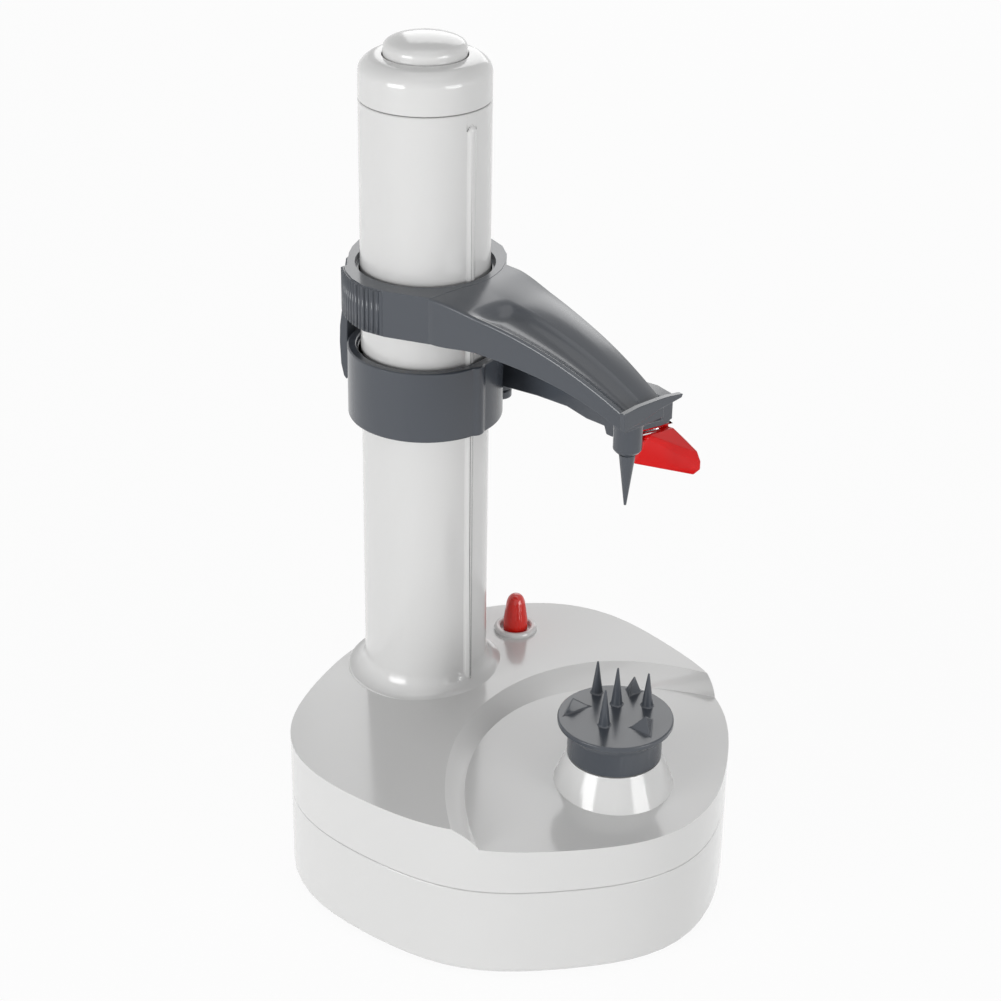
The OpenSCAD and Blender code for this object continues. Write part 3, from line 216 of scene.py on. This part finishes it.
def metal(look):
    values = {"Colour": (*look["colour"], 1), "Shade": (*look["shade"], 1), "Gloss": look["gloss"],
        "Line Scale": look["lines"]}
    return finishMaterial(look["name"], metalSkin, values, {"Metallic": 1.0}, metalSettings["bump"],
        metalSettings["bumpDistance"])


plasticLooks = {
    "white_plastic": {"name": "paleHousing", "colour": (0.68, 0.68, 0.675), "shade": (0.64, 0.64, 0.635),
        "gloss": 0.12, "haze": 0.05, "drift": 0.25, "peel": 2600.0, "bump": 0.015,
        "shader": {"Coat Weight": 0.15, "Coat Roughness": 0.05}},
    "grey_plastic": {"name": "slateMoulding", "colour": (0.062, 0.070, 0.084), "shade": (0.052, 0.060, 0.072),
        "gloss": 0.2, "haze": 0.06, "drift": 0.3, "peel": 3000.0, "bump": 0.02,
        "shader": {"Coat Weight": 0.1, "Coat Roughness": 0.1}},
    "red_plastic": {"name": "redMoulding", "colour": (0.66, 0.008, 0.008), "shade": (0.52, 0.005, 0.005),
        "gloss": 0.12, "haze": 0.05, "drift": 0.3, "peel": 2600.0, "bump": 0.02,
        "shader": {"Specular IOR Level": 0.3}},
    "button_plastic": {"name": "redLens", "colour": (0.72, 0.012, 0.004), "shade": (0.56, 0.006, 0.003),
        "gloss": 0.08, "haze": 0.05, "drift": 0.3, "peel": 2400.0, "bump": 0.01,
        "shader": {"Subsurface Weight": 0.2, "Subsurface Radius": (0.003, 0.0005, 0.0003),
            "Coat Weight": 0.4, "Coat Roughness": 0.04}},
    "inner_plastic": {"name": "innerMoulding", "colour": (0.66, 0.66, 0.63), "shade": (0.56, 0.56, 0.53),
        "gloss": 0.45, "haze": 0.12, "drift": 0.4, "peel": 1000.0, "bump": 0.1},
    "gear_plastic": {"name": "gearNylon", "colour": (0.82, 0.81, 0.74), "shade": (0.74, 0.72, 0.62),
        "gloss": 0.4, "haze": 0.12, "drift": 0.4, "peel": 1200.0, "bump": 0.08},
    "switch_plastic": {"name": "switchShell", "colour": (0.03, 0.03, 0.034), "shade": (0.02, 0.02, 0.024),
        "gloss": 0.4, "haze": 0.15, "drift": 0.4, "peel": 1200.0, "bump": 0.1},
    "foot_rubber": {"name": "footRubber", "colour": (0.035, 0.035, 0.037), "shade": (0.022, 0.022, 0.024),
        "gloss": 0.72, "haze": 0.15, "drift": 0.5, "peel": 1500.0, "bump": 0.25},
    "cell_wrap": {"name": "cellWrap", "colour": (0.16, 0.2, 0.25), "shade": (0.11, 0.14, 0.18),
        "gloss": 0.25, "haze": 0.1, "drift": 0.5, "peel": 700.0, "bump": 0.05},
}
metalLooks = {
    "steel": {"name": "pinSteel", "colour": (0.62, 0.63, 0.65), "shade": (0.5, 0.51, 0.53),
        "gloss": 0.2, "lines": 1.0},
    "blade_steel": {"name": "bladeSteel", "colour": (0.72, 0.73, 0.75), "shade": (0.6, 0.61, 0.63),
        "gloss": 0.12, "lines": 0.6},
    "bronze": {"name": "bushBronze", "colour": (0.55, 0.34, 0.13), "shade": (0.42, 0.25, 0.09),
        "gloss": 0.34, "lines": 1.0},
    "motor_can": {"name": "motorCan", "colour": (0.6, 0.61, 0.63), "shade": (0.5, 0.51, 0.53),
        "gloss": 0.28, "lines": 0.7},
}
materials = {slot: plastic(look) for slot, look in plasticLooks.items()}
materials.update({slot: metal(look) for slot, look in metalLooks.items()})
for node, thing in frame["nodes"].items():
    thing.data.materials.clear()
    thing.data.materials.append(materials[slotOf[node]])
print("stage: materials,", len(materials))


# smooth copies of the moulded CAD pieces with softened edges: sharp and flat in degrees, the rest in metres
copySettings = {"weld": 2e-6, "flat": 0.4}


def plainMesh(thing):
    # takes the mesh as its modifiers leave it, and drops the modifiers
    view = bpy.context.evaluated_depsgraph_get()
    mesh = bpy.data.meshes.new_from_object(thing.evaluated_get(view), depsgraph=view)
    mesh.name = thing.name
    thing.modifiers.clear()
    thing.data = mesh


def softenEdges(piece, look):
    bevel = piece.modifiers.new("softEdge", "BEVEL")
    bevel.width = look["edge"]
    bevel.segments = 2
    bevel.limit_method = "ANGLE"
    bevel.angle_limit = math.radians(look["sharp"])
    bevel.use_clamp_overlap = False
    bevel.harden_normals = False
    normals = piece.modifiers.new("evenNormals", "WEIGHTED_NORMAL")
    normals.keep_sharp = True
    plainMesh(piece)


def standFor(piece, node):
    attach(piece, bodyOf[node])
    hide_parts(node)


def finishPiece(work, node, name, look):
    for face in work.faces:
        face.smooth = True
        face.material_index = 0
    for edge in work.edges:
        edge.smooth = len(edge.link_faces) == 2 and edge.calc_face_angle(0) < math.radians(look["sharp"])
    mesh = bpy.data.meshes.new(name)
    work.to_mesh(mesh)
    work.free()
    if "custom_normal" in mesh.attributes:
        mesh.attributes.remove(mesh.attributes["custom_normal"])
    mesh.materials.append(materials[slotOf[node]])
    piece = bpy.data.objects.new(name, mesh)
    scene.collection.objects.link(piece)
    if look["edge"]:
        softenEdges(piece, look)
    standFor(piece, node)
    return piece


def softenedCopy(node, name, look):
    work = bmesh.new()
    work.from_mesh(frame["nodes"][node].data)
    bmesh.ops.remove_doubles(work, verts=work.verts, dist=copySettings["weld"])
    flat = math.radians(copySettings["flat"])
    bmesh.ops.dissolve_limit(work, angle_limit=flat, verts=work.verts, edges=work.edges)
    if "cut" in look:
        geometry = work.verts[:] + work.edges[:] + work.faces[:]
        bmesh.ops.bisect_plane(work, geom=geometry, plane_co=look["cut"]["place"],
            plane_no=look["cut"]["normal"], clear_outer=True)
        bmesh.ops.holes_fill(work, edges=[edge for edge in work.edges if len(edge.link_faces) == 1])
    return finishPiece(work, node, name, look)


# the ring's copy ends in this plane, where the new arm begins
ringCut = {"place": (-0.0204, 0, 0), "normal": (1, 0, 0)}
mouldings = {
    "base_tub": ("tubShell", {"sharp": 30, "edge": 0.0004}),
    "battery_door": ("doorPanel", {"sharp": 30, "edge": 0.0003}),
    "rubber_feet": ("footPads", {"sharp": 30, "edge": 0.0004}),
    "column": ("columnTube", {"sharp": 30, "edge": 0.0004}),
    "column_cap": ("capShell", {"sharp": 35, "edge": 0.0003}),
    "cap_disc": ("capDisc", {"sharp": 40, "edge": 0.0003}),
    "food_holder": ("holderCup", {"sharp": 30, "edge": 0.0004}),
    "carriage_collar": ("carriageCollar", {"sharp": 30, "edge": 0.0005}),
    "peel_arm": ("peelArm", {"sharp": 30, "edge": 0.0004}),
    "blade_head": ("bladeHead", {"sharp": 40, "edge": 0.0002}),
    "holder_arm": ("ringBody", {"sharp": 30, "edge": 0.0001, "cut": ringCut}),
    "food_spike": ("spikeCone", {"sharp": 30, "edge": 0.0002}),
    "release_lever": ("ringLever", {"sharp": 30, "edge": 0.0003}),
    "start_button": ("startButton", {"sharp": 30, "edge": 0.0002}),
}
for node, (name, look) in mouldings.items():
    piece = softenedCopy(node, name, look)
    print("stage: copy", name, len(piece.data.polygons), "faces")


# the start button's spring, copied with a mesh of its own
springSettings = {"joint": "button_press", "foot": (-0.0422, 0.0395, 0.04215), "keep": 0.68,
    "look": {"sharp": 50, "edge": 0}}
buttonSpring = softenedCopy("button_spring", "buttonSpring", springSettings["look"])
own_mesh(buttonSpring)


# spike arm, lofted along X from the ring; millimetres from the ring's own origin
armSettings = {
    "start": 11.3, "root": 26.0, "tip": 98.5, "stations": 60, "ringRadius": 23.8,
    "rootWidth": 42.0, "tipWidth": 18.0, "farIn": 7.0, "wall": 2.2, "skin": 2.4,
    "topRoot": 14.6, "topDrop": 17.7, "topPower": 2.15, "rootLift": 1.2, "liftEnd": 44.0,
    "bellyRoot": 2.2, "bellyDrop": 11.4, "bellyPower": 3.2, "bellySink": 1.9,
    "lip": 1.2, "lipDrop": 0.5, "lipRound": 0.5, "farDrop": 0.2,
    "grooveShare": 0.5, "grooveDepth": 3.2, "grooveFrom": 38.0, "grooveFull": 45.0, "grooveFade": 0.45,
    "groovePower": 0.8, "shoulderRise": 1.2, "shoulderDrop": 1.4, "shoulderFull": 62.0,
    "shoulderCrown": 1.1, "shoulderPower": 3, "ceilingDrop": 1.2, "hollowStart": (26.0, 29.0),
    "hollowEnd": (70.0, 82.0), "sideShares": (0, 0.5, 1), "lipShares": (0.2, 0.5, 1), "grooveSteps": 12,
    "shoulderSteps": 12, "underSteps": 16, "weld": 0.002, "sliver": 0.001,
    "look": {"sharp": 38, "edge": 0.0002},
}
# the boss's ends are closed by a ring so small that it stands for the axis
bossSettings = {"x": 92.2, "sides": 40,
    "profile": [(0.001, -20.1), (3.8, -20.1), (4.6, -19.1), (4.6, -4.6), (0.001, -4.6)]}
tipSettings = {"from": 97.9, "to": 99.9, "outline": [(-10.6, -1.7), (-3.7, -1.2), (5.7, -1.6), (9.5, -1.9),
    (16.1, -3.0), (15.5, -4.1), (5.9, -5.0), (-2.4, -6.8), (-10.3, -7.4)]}


def easeBetween(low, high, value):
    share = min(1.0, max(0.0, (value - low) / (high - low)))
    return share * share * (3 - 2 * share)


def armShare(settings, x):
    return max(0.0, (x - settings["root"]) / (settings["tip"] - settings["root"]))


def armAcross(settings, station, side, along):
    share = armShare(settings, station)
    near = -(settings["rootWidth"] + (settings["tipWidth"] - settings["rootWidth"]) * share) / 2
    far = -near - settings["farIn"] / 2 * (1 - share)
    nearIn, farIn = near + settings["wall"], far - settings["wall"]
    grooveStart = near + settings["lip"]
    grooveEnd = near + (far - near) * settings["grooveShare"]
    return {
        "near": near,
        "lip": near + settings["lip"] * along,
        "groove": grooveStart + (grooveEnd - grooveStart) * along,
        "shoulder": grooveEnd + (far - grooveEnd) * along,
        "far": far,
        "farIn": farIn,
        "under": farIn + (nearIn - farIn) * along,
        "nearIn": nearIn,
    }[side]


def armHeight(settings, x, side, along):
    share = armShare(settings, x)
    atRoot = 1 - easeBetween(settings["root"], settings["liftEnd"], x)
    top = settings["topRoot"] - settings["topDrop"] * share ** settings["topPower"]
    top += settings["rootLift"] * atRoot
    belly = settings["bellyRoot"] - settings["bellyDrop"] * share ** settings["bellyPower"]
    belly -= settings["bellySink"] * atRoot
    depth = settings["grooveDepth"] * easeBetween(settings["grooveFrom"], settings["grooveFull"], x)
    depth *= 1 - settings["grooveFade"] * share
    rise = easeBetween(settings["root"], settings["shoulderFull"], x)
    if side == "near":
        return belly + (top - settings["lipDrop"] - belly) * along
    if side == "lip":
        quarter = math.pi / 2 * min(1.0, along / settings["lipRound"])
        return top - settings["lipDrop"] * (1 - math.sin(quarter))
    if side == "groove":
        return top - depth * math.sin(math.pi * along) ** settings["groovePower"]
    if side == "shoulder":
        crown = settings["shoulderRise"] * math.sin(math.pi * min(1.0, along * settings["shoulderCrown"]))
        fall = settings["shoulderDrop"] * along ** settings["shoulderPower"]
        return top + rise * (crown * (1 - share) - fall)
    if side == "far":
        return belly + (top - rise * settings["shoulderDrop"] - settings["farDrop"] - belly) * along
    if side == "under":
        ceiling = max(belly, top - depth - settings["skin"] - settings["ceilingDrop"] * rise)
        hollow = (1 - easeBetween(*settings["hollowEnd"], x)) * easeBetween(*settings["hollowStart"], x)
        return belly + (ceiling - belly) * hollow
    return belly


def armPoint(settings, station, side, along):
    # side is the run of the section that the point is on, and along is how far it has come on that run
    y = armAcross(settings, station, side, along)
    x = max(station, math.sqrt(max(0.0, settings["ringRadius"] ** 2 - y * y)))
    return x, y, armHeight(settings, x, side, along)


def armSection(settings):
    # one closed section: up the near side, over the top, down the far side and back under the arm
    groove, shoulder, under = settings["grooveSteps"], settings["shoulderSteps"], settings["underSteps"]
    section = [("near", share) for share in settings["sideShares"]]
    section += [("lip", share) for share in settings["lipShares"]]
    section += [("groove", step / groove) for step in range(1, groove)]
    section += [("shoulder", step / shoulder) for step in range(shoulder + 1)]
    section += [("far", share) for share in reversed(settings["sideShares"])]
    section += [("farIn", 0)] + [("under", step / under) for step in range(under + 1)] + [("nearIn", 0)]
    return section


def loft(work, rings, close=True):
    rows = [[work.verts.new(point) for point in ring] for ring in rings]
    count = len(rows[0])
    for low, high in zip(rows, rows[1:]):
        for k in range(count if close else count - 1):
            after = (k + 1) % count
            work.faces.new((low[k], low[after], high[after], high[k]))
    return rows


def lathe(work, x, y, profile, sides):
    turns = [2 * math.pi * step / sides for step in range(sides)]
    return loft(work, [[(x + radius * math.cos(turn), y + radius * math.sin(turn), z) for turn in turns]
        for radius, z in profile])


def capEnds(work, rows):
    work.faces.new(rows[0])
    work.faces.new(list(reversed(rows[-1])))


def zipRows(work, upper, lower):
    # closes the gap between two rows of vertices that both run along +Y
    i, j = 0, 0
    while i < len(upper) - 1 or j < len(lower) - 1:
        if j == len(lower) - 1 or (i < len(upper) - 1 and upper[i + 1].co.y <= lower[j + 1].co.y):
            work.faces.new((upper[i], upper[i + 1], lower[j]))
            i += 1
        else:
            work.faces.new((upper[i], lower[j + 1], lower[j]))
            j += 1


def makeArm(settings, boss, tip):
    section = armSection(settings)
    count, length = settings["stations"], settings["tip"] - settings["start"]
    stations = [settings["start"] + length * step / count for step in range(count + 1)]
    work = bmesh.new()
    rows = loft(work, [[armPoint(settings, station, *run) for run in section] for station in stations])
    # the open end at the ring is closed between its upper run and its lower one
    farBottom = section.index(("farIn", 0)) - 1
    zipRows(work, rows[0][1:farBottom], [rows[0][0]] + list(reversed(rows[0][farBottom:])))
    work.faces.new(list(reversed(rows[-1])))
    bmesh.ops.remove_doubles(work, verts=work.verts, dist=settings["weld"])
    bmesh.ops.dissolve_degenerate(work, edges=work.edges, dist=settings["sliver"])
    capEnds(work, lathe(work, boss["x"], 0, boss["profile"], boss["sides"]))
    capEnds(work, loft(work, [[(x, y, z) for y, z in tip["outline"]] for x in (tip["from"], tip["to"])]))
    bmesh.ops.recalc_face_normals(work, faces=work.faces)
    origin = Vector(ringOrigin)
    for vert in work.verts:
        vert.co = (vert.co + origin) * millimetre
    finishPiece(work, "holder_arm", "spikeArm", settings["look"])


makeArm(armSettings, bossSettings, tipSettings)
print("stage: spike arm")


# grip ribs of the ring's pad, instanced along the pad's curve; millimetres, and the pad as (turn, radius)
ribSettings = {"count": 14, "sides": 16, "steps": 6, "radius": 0.72, "height": 14.7, "middle": 7.95,
    "out": 0.62, "pad": [(-123, 26.6), (-113, 27.0), (-99, 27.9), (-85, 28.8), (-72, 28.8)]}


def ribTree(sides):
    tree = bpy.data.node_groups.new("ribsAlongPath", "GeometryNodeTree")
    tree.is_modifier = True
    sockets = {}
    for label, kind, way in (("Geometry", "NodeSocketGeometry", "INPUT"), ("Count", "NodeSocketInt", "INPUT"),
            ("Radius", "NodeSocketFloat", "INPUT"), ("Height", "NodeSocketFloat", "INPUT"),
            ("Material", "NodeSocketMaterial", "INPUT"), ("Geometry", "NodeSocketGeometry", "OUTPUT")):
        sockets[label, way] = tree.interface.new_socket(name=label, in_out=way, socket_type=kind).identifier
    kinds = ("NodeGroupInput", "GeometryNodeMeshToCurve", "GeometryNodeResampleCurve",
        "GeometryNodeMeshCylinder", "GeometryNodeInstanceOnPoints", "GeometryNodeRealizeInstances",
        "GeometryNodeSetShadeSmooth", "GeometryNodeSetMaterial", "NodeGroupOutput")
    start, toCurve, points, rib, place, real, smooth, paint, end = [tree.nodes.new(kind) for kind in kinds]
    rib.inputs["Vertices"].default_value = sides
    rib.fill_type = "TRIANGLE_FAN"
    for output, target in ((start.outputs["Geometry"], toCurve.inputs[0]),
            (toCurve.outputs[0], points.inputs["Curve"]), (start.outputs["Count"], points.inputs["Count"]),
            (start.outputs["Radius"], rib.inputs["Radius"]), (start.outputs["Height"], rib.inputs["Depth"]),
            (points.outputs[0], place.inputs["Points"]), (rib.outputs["Mesh"], place.inputs["Instance"]),
            (place.outputs[0], real.inputs[0]), (real.outputs[0], smooth.inputs["Geometry"]),
            (smooth.outputs[0], paint.inputs["Geometry"]),
            (start.outputs["Material"], paint.inputs["Material"]), (paint.outputs[0], end.inputs[0])):
        tree.links.new(output, target)
    return tree, sockets


def makeRibs(name, node, settings, path):
    tree, sockets = ribTree(settings["sides"])
    mesh = bpy.data.meshes.new(name)
    mesh.from_pydata(path, [(k, k + 1) for k in range(len(path) - 1)], [])
    piece = bpy.data.objects.new(name, mesh)
    scene.collection.objects.link(piece)
    modifier = piece.modifiers.new("ribs", "NODES")
    modifier.node_group = tree
    for label, value in (("Count", settings["count"]), ("Radius", settings["radius"] * millimetre),
            ("Height", settings["height"] * millimetre), ("Material", materials[slotOf[node]])):
        modifier[sockets[label, "INPUT"]] = value
    plainMesh(piece)
    standFor(piece, node)
    print("stage:", name, len(piece.data.polygons), "faces")


def padPath(settings):
    x, y, z = ringOrigin
    steps = settings["steps"]
    path = []
    for (turn, radius), (nextTurn, nextRadius) in zip(settings["pad"], settings["pad"][1:]):
        for step in range(steps):
            angle = math.radians(turn + (nextTurn - turn) * step / steps)
            reach = radius + (nextRadius - radius) * step / steps + settings["out"]
            place = (x + reach * math.cos(angle), y + reach * math.sin(angle), z + settings["middle"])
            path.append(tuple(size * millimetre for size in place))
    return path


makeRibs("gripRibs", "holder_arm", ribSettings, padPath(ribSettings))


# base cover: two gently tilted levels, joined by a sloped wall between two ellipses; millimetres and degrees
coverSettings = {
    "centre": 0.8, "low": 34.45, "steps": 180, "walls": 64, "levels": 6, "halvings": 40,
    "outline": {"radius": 75.3, "waves": [(1, -1.5), (2, -0.5), (3, 2.5), (6, 1.2)], "dip": 3.4,
        "dipPower": 4},
    "raised": {"x": columnX, "z": 55.2, "slope": 0.0245},
    "recess": {"x": spindleX, "z": 50.7, "slope": -0.035},
    "foot": {"x": 56.0, "y": 0.1, "long": 106.3, "wide": 75.5, "lean": -5.9, "z": 52.2},
    "rim": {"x": 46.4, "y": -10.7, "long": 110.8, "wide": 74.9, "lean": -22.7, "z": 56.3},
    "farTurns": (180, 110), "nearTurns": (200, 290),
    "cone": {"x": spindleX, "y": 0, "sides": 96,
        "profile": [(20.85, 48.6), (15.7, 61.6), (5.1, 61.6), (5.1, 52.0)]},
    "buttonRing": {"x": -42.2, "y": 39.5, "sides": 48,
        "profile": [(7.8, 52.0), (7.8, 56.3), (7.5, 56.9), (6.9, 57.14), (6.2, 57.14), (5.7, 56.9),
            (5.5, 56.4), (5.5, 50.0)]},
    "look": {"sharp": 12, "edge": 0},
}


def outlineRadius(outline, turn):
    radius = outline["radius"]
    for count, size in outline["waves"]:
        radius += size * math.cos(count * turn)
    return radius - outline["dip"] * max(0.0, math.sin(turn)) ** outline["dipPower"]


def levelHeight(level, x):
    return level["z"] + level["slope"] * (x - level["x"])


def ellipsePoint(ellipse, turn):
    # the ellipse's middle is given from the spindle
    x, y = ellipse["long"] * math.cos(turn), ellipse["wide"] * math.sin(turn)
    lean = math.radians(ellipse["lean"])
    return (spindleX + ellipse["x"] + x * math.cos(lean) - y * math.sin(lean),
        ellipse["y"] + x * math.sin(lean) + y * math.cos(lean))


def levelShare(settings, level, foot, rim):
    # where the straight line from foot to rim meets a level, as a share of that line
    start = settings["foot"]["z"]
    rise = settings["rim"]["z"] - start
    return (levelHeight(level, foot[0]) - start) / (rise - level["slope"] * (rim[0] - foot[0]))


def wallPoint(settings, turn, share):
    # share 0 lies on the recess and share 1 on the raised level
    foot = ellipsePoint(settings["foot"], turn)
    rim = ellipsePoint(settings["rim"], turn)
    low = max(0.0, levelShare(settings, settings["recess"], foot, rim))
    high = min(1.0, levelShare(settings, settings["raised"], foot, rim))
    blend = low + (high - low) * share
    x, y = (foot[axis] + blend * (rim[axis] - foot[axis]) for axis in (0, 1))
    z = (1 - share) * levelHeight(settings["recess"], x) + share * levelHeight(settings["raised"], x)
    return x, y, z


def outlineGap(settings, point):
    x, y = point[0] - settings["centre"], point[1]
    return math.hypot(x, y) - outlineRadius(settings["outline"], math.atan2(y, x))


def wallEnd(settings, share, inside, outside):
    # halves the way between a turn within the outline and one beyond it, until both are at the outline
    for _ in range(settings["halvings"]):
        middle = (inside + outside) / 2
        if outlineGap(settings, wallPoint(settings, middle, share)) > 0:
            outside = middle
        else:
            inside = middle
    return inside


def fillFlat(work, ring):
    # fills a ring of vertices with triangles, as seen from above
    insideOnly, tolerance = 1, 1e-6
    points = [Vector((vert.co.x, vert.co.y)) for vert in ring]
    edges = [(k, (k + 1) % len(ring)) for k in range(len(ring))]
    found = delaunay_2d_cdt(points, edges, [], insideOnly, tolerance)
    triangles, origins = found[2], found[3]
    for triangle in triangles:
        work.faces.new([ring[origins[corner][0]] for corner in triangle])


def direction(settings, vert):
    return math.atan2(vert.co.y, vert.co.x - settings["centre"])


def outlineArc(work, settings, start, stop, level):
    # the vertices between two turns of the outline, at the height of a level
    count = max(2, int(abs(stop - start) / (2 * math.pi) * settings["steps"]))
    places = []
    for step in range(1, count):
        turn = start + (stop - start) * step / count
        radius = outlineRadius(settings["outline"], turn)
        x, y = settings["centre"] + radius * math.cos(turn), radius * math.sin(turn)
        places.append(work.verts.new((x, y, levelHeight(level, x))))
    return places


def makeCover(settings):
    work = bmesh.new()
    far = [math.radians(turn) for turn in settings["farTurns"]]
    near = [math.radians(turn) for turn in settings["nearTurns"]]
    levels, walls = settings["levels"], settings["walls"]
    shares = [step / levels for step in range(levels + 1)]
    ends = [(wallEnd(settings, share, *far), wallEnd(settings, share, *near)) for share in shares]
    wall = loft(work, [[wallPoint(settings, start + (stop - start) * step / walls, share)
        for step in range(walls + 1)] for share, (start, stop) in zip(shares, ends)], close=False)
    farEnds, nearEnds = [row[0] for row in wall], [row[-1] for row in wall]
    farFoot, farRim = direction(settings, farEnds[0]), direction(settings, farEnds[-1])
    nearFoot, nearRim = direction(settings, nearEnds[0]), direction(settings, nearEnds[-1])
    recessArc = outlineArc(work, settings, nearFoot, farFoot, settings["recess"])
    raisedArc = outlineArc(work, settings, farRim, nearRim + 2 * math.pi, settings["raised"])
    fillFlat(work, wall[0] + recessArc)
    fillFlat(work, list(reversed(wall[-1])) + raisedArc)
    edgeLoop = recessArc + farEnds + raisedArc + list(reversed(nearEnds))
    base = [work.verts.new((vert.co.x, vert.co.y, settings["low"])) for vert in edgeLoop]
    for k in range(len(edgeLoop)):
        after = (k + 1) % len(edgeLoop)
        work.faces.new((base[k], base[after], edgeLoop[after], edgeLoop[k]))
    for part in (settings["cone"], settings["buttonRing"]):
        lathe(work, part["x"], part["y"], part["profile"], part["sides"])
    bmesh.ops.recalc_face_normals(work, faces=work.faces)
    for vert in work.verts:
        vert.co = vert.co * millimetre
    finishPiece(work, "base_cover", "coverShell", settings["look"])


makeCover(coverSettings)
print("stage: cover")


# floor, plain lights and a white surround; metres and watts
floorSettings = {"size": 60.0, "colour": (0.92, 0.92, 0.92, 1), "roughness": 0.8, "glow": 1.0, "lift": 0.93}
lightAim = (0, 0, 0.12)
lightSettings = {
    "keyLeft": {"place": (-0.1, -1.3, 0.22), "size": 0.7, "power": 12.0},
    "fillRight": {"place": (1.35, 0.15, 0.2), "size": 0.7, "power": 9.0},
    "topSoft": {"place": (0.1, 0.1, 1.9), "size": 1.4, "power": 5.0},
    "backSoft": {"place": (-1.0, 1.3, 0.9), "size": 1.0, "power": 5.0},
}
worldSettings = {"colour": (1, 1, 1, 1), "ambient": 0.3, "white": 1.0}


def seenBackground(tree):
    # 1 for what the camera sees, by itself or in a glossy or clear surface, and 0 for diffuse light
    path = tree.nodes.new("ShaderNodeLightPath")
    seen = addMath(tree, "MAXIMUM", path.outputs["Is Camera Ray"], path.outputs["Is Glossy Ray"])
    return addMath(tree, "MAXIMUM", seen, path.outputs["Is Transmission Ray"])


def makeFloor(settings):
    half = settings["size"] / 2
    corners = [(-half, -half, 0), (half, -half, 0), (half, half, 0), (-half, half, 0)]
    mesh = bpy.data.meshes.new("floor")
    mesh.from_pydata(corners, [], [(0, 1, 2, 3)])
    floor = bpy.data.objects.new("floor", mesh)
    scene.collection.objects.link(floor)
    material = bpy.data.materials.new("floorPaper")
    material.use_nodes = True
    tree = material.node_tree
    paper = tree.nodes["Principled BSDF"]
    paper.inputs["Base Color"].default_value = settings["colour"]
    paper.inputs["Roughness"].default_value = settings["roughness"]
    glow = tree.nodes.new("ShaderNodeEmission")
    glow.inputs["Strength"].default_value = settings["glow"]
    mix = tree.nodes.new("ShaderNodeMixShader")
    tree.links.new(addMath(tree, "MULTIPLY", seenBackground(tree), settings["lift"]), mix.inputs[0])
    tree.links.new(paper.outputs[0], mix.inputs[1])
    tree.links.new(glow.outputs[0], mix.inputs[2])
    tree.links.new(mix.outputs[0], tree.nodes["Material Output"].inputs["Surface"])
    mesh.materials.append(material)


def makeLights(settings, aim):
    for name, look in settings.items():
        data = bpy.data.lights.new(name, "AREA")
        data.shape = "SQUARE"
        data.size = look["size"]
        data.energy = look["power"]
        lamp = bpy.data.objects.new(name, data)
        scene.collection.objects.link(lamp)
        lamp.location = look["place"]
        lamp.rotation_mode = "QUATERNION"
        lamp.rotation_quaternion = (Vector(aim) - lamp.location).to_track_quat("-Z", "Y")


def makeWorld(settings):
    world = bpy.data.worlds.new("studio")
    scene.world = world
    world.use_nodes = True
    tree = world.node_tree
    ambient = tree.nodes["Background"]
    ambient.inputs["Color"].default_value = settings["colour"]
    ambient.inputs["Strength"].default_value = settings["ambient"]
    white = tree.nodes.new("ShaderNodeBackground")
    white.inputs["Color"].default_value = settings["colour"]
    white.inputs["Strength"].default_value = settings["white"]
    mix = tree.nodes.new("ShaderNodeMixShader")
    tree.links.new(seenBackground(tree), mix.inputs[0])
    tree.links.new(ambient.outputs[0], mix.inputs[1])
    tree.links.new(white.outputs[0], mix.inputs[2])
    tree.links.new(mix.outputs[0], tree.nodes["World Output"].inputs["Surface"])


makeFloor(floorSettings)
makeLights(lightSettings, lightAim)
makeWorld(worldSettings)
scene.view_settings.view_transform = "Standard"
print("stage: floor, lights and world")
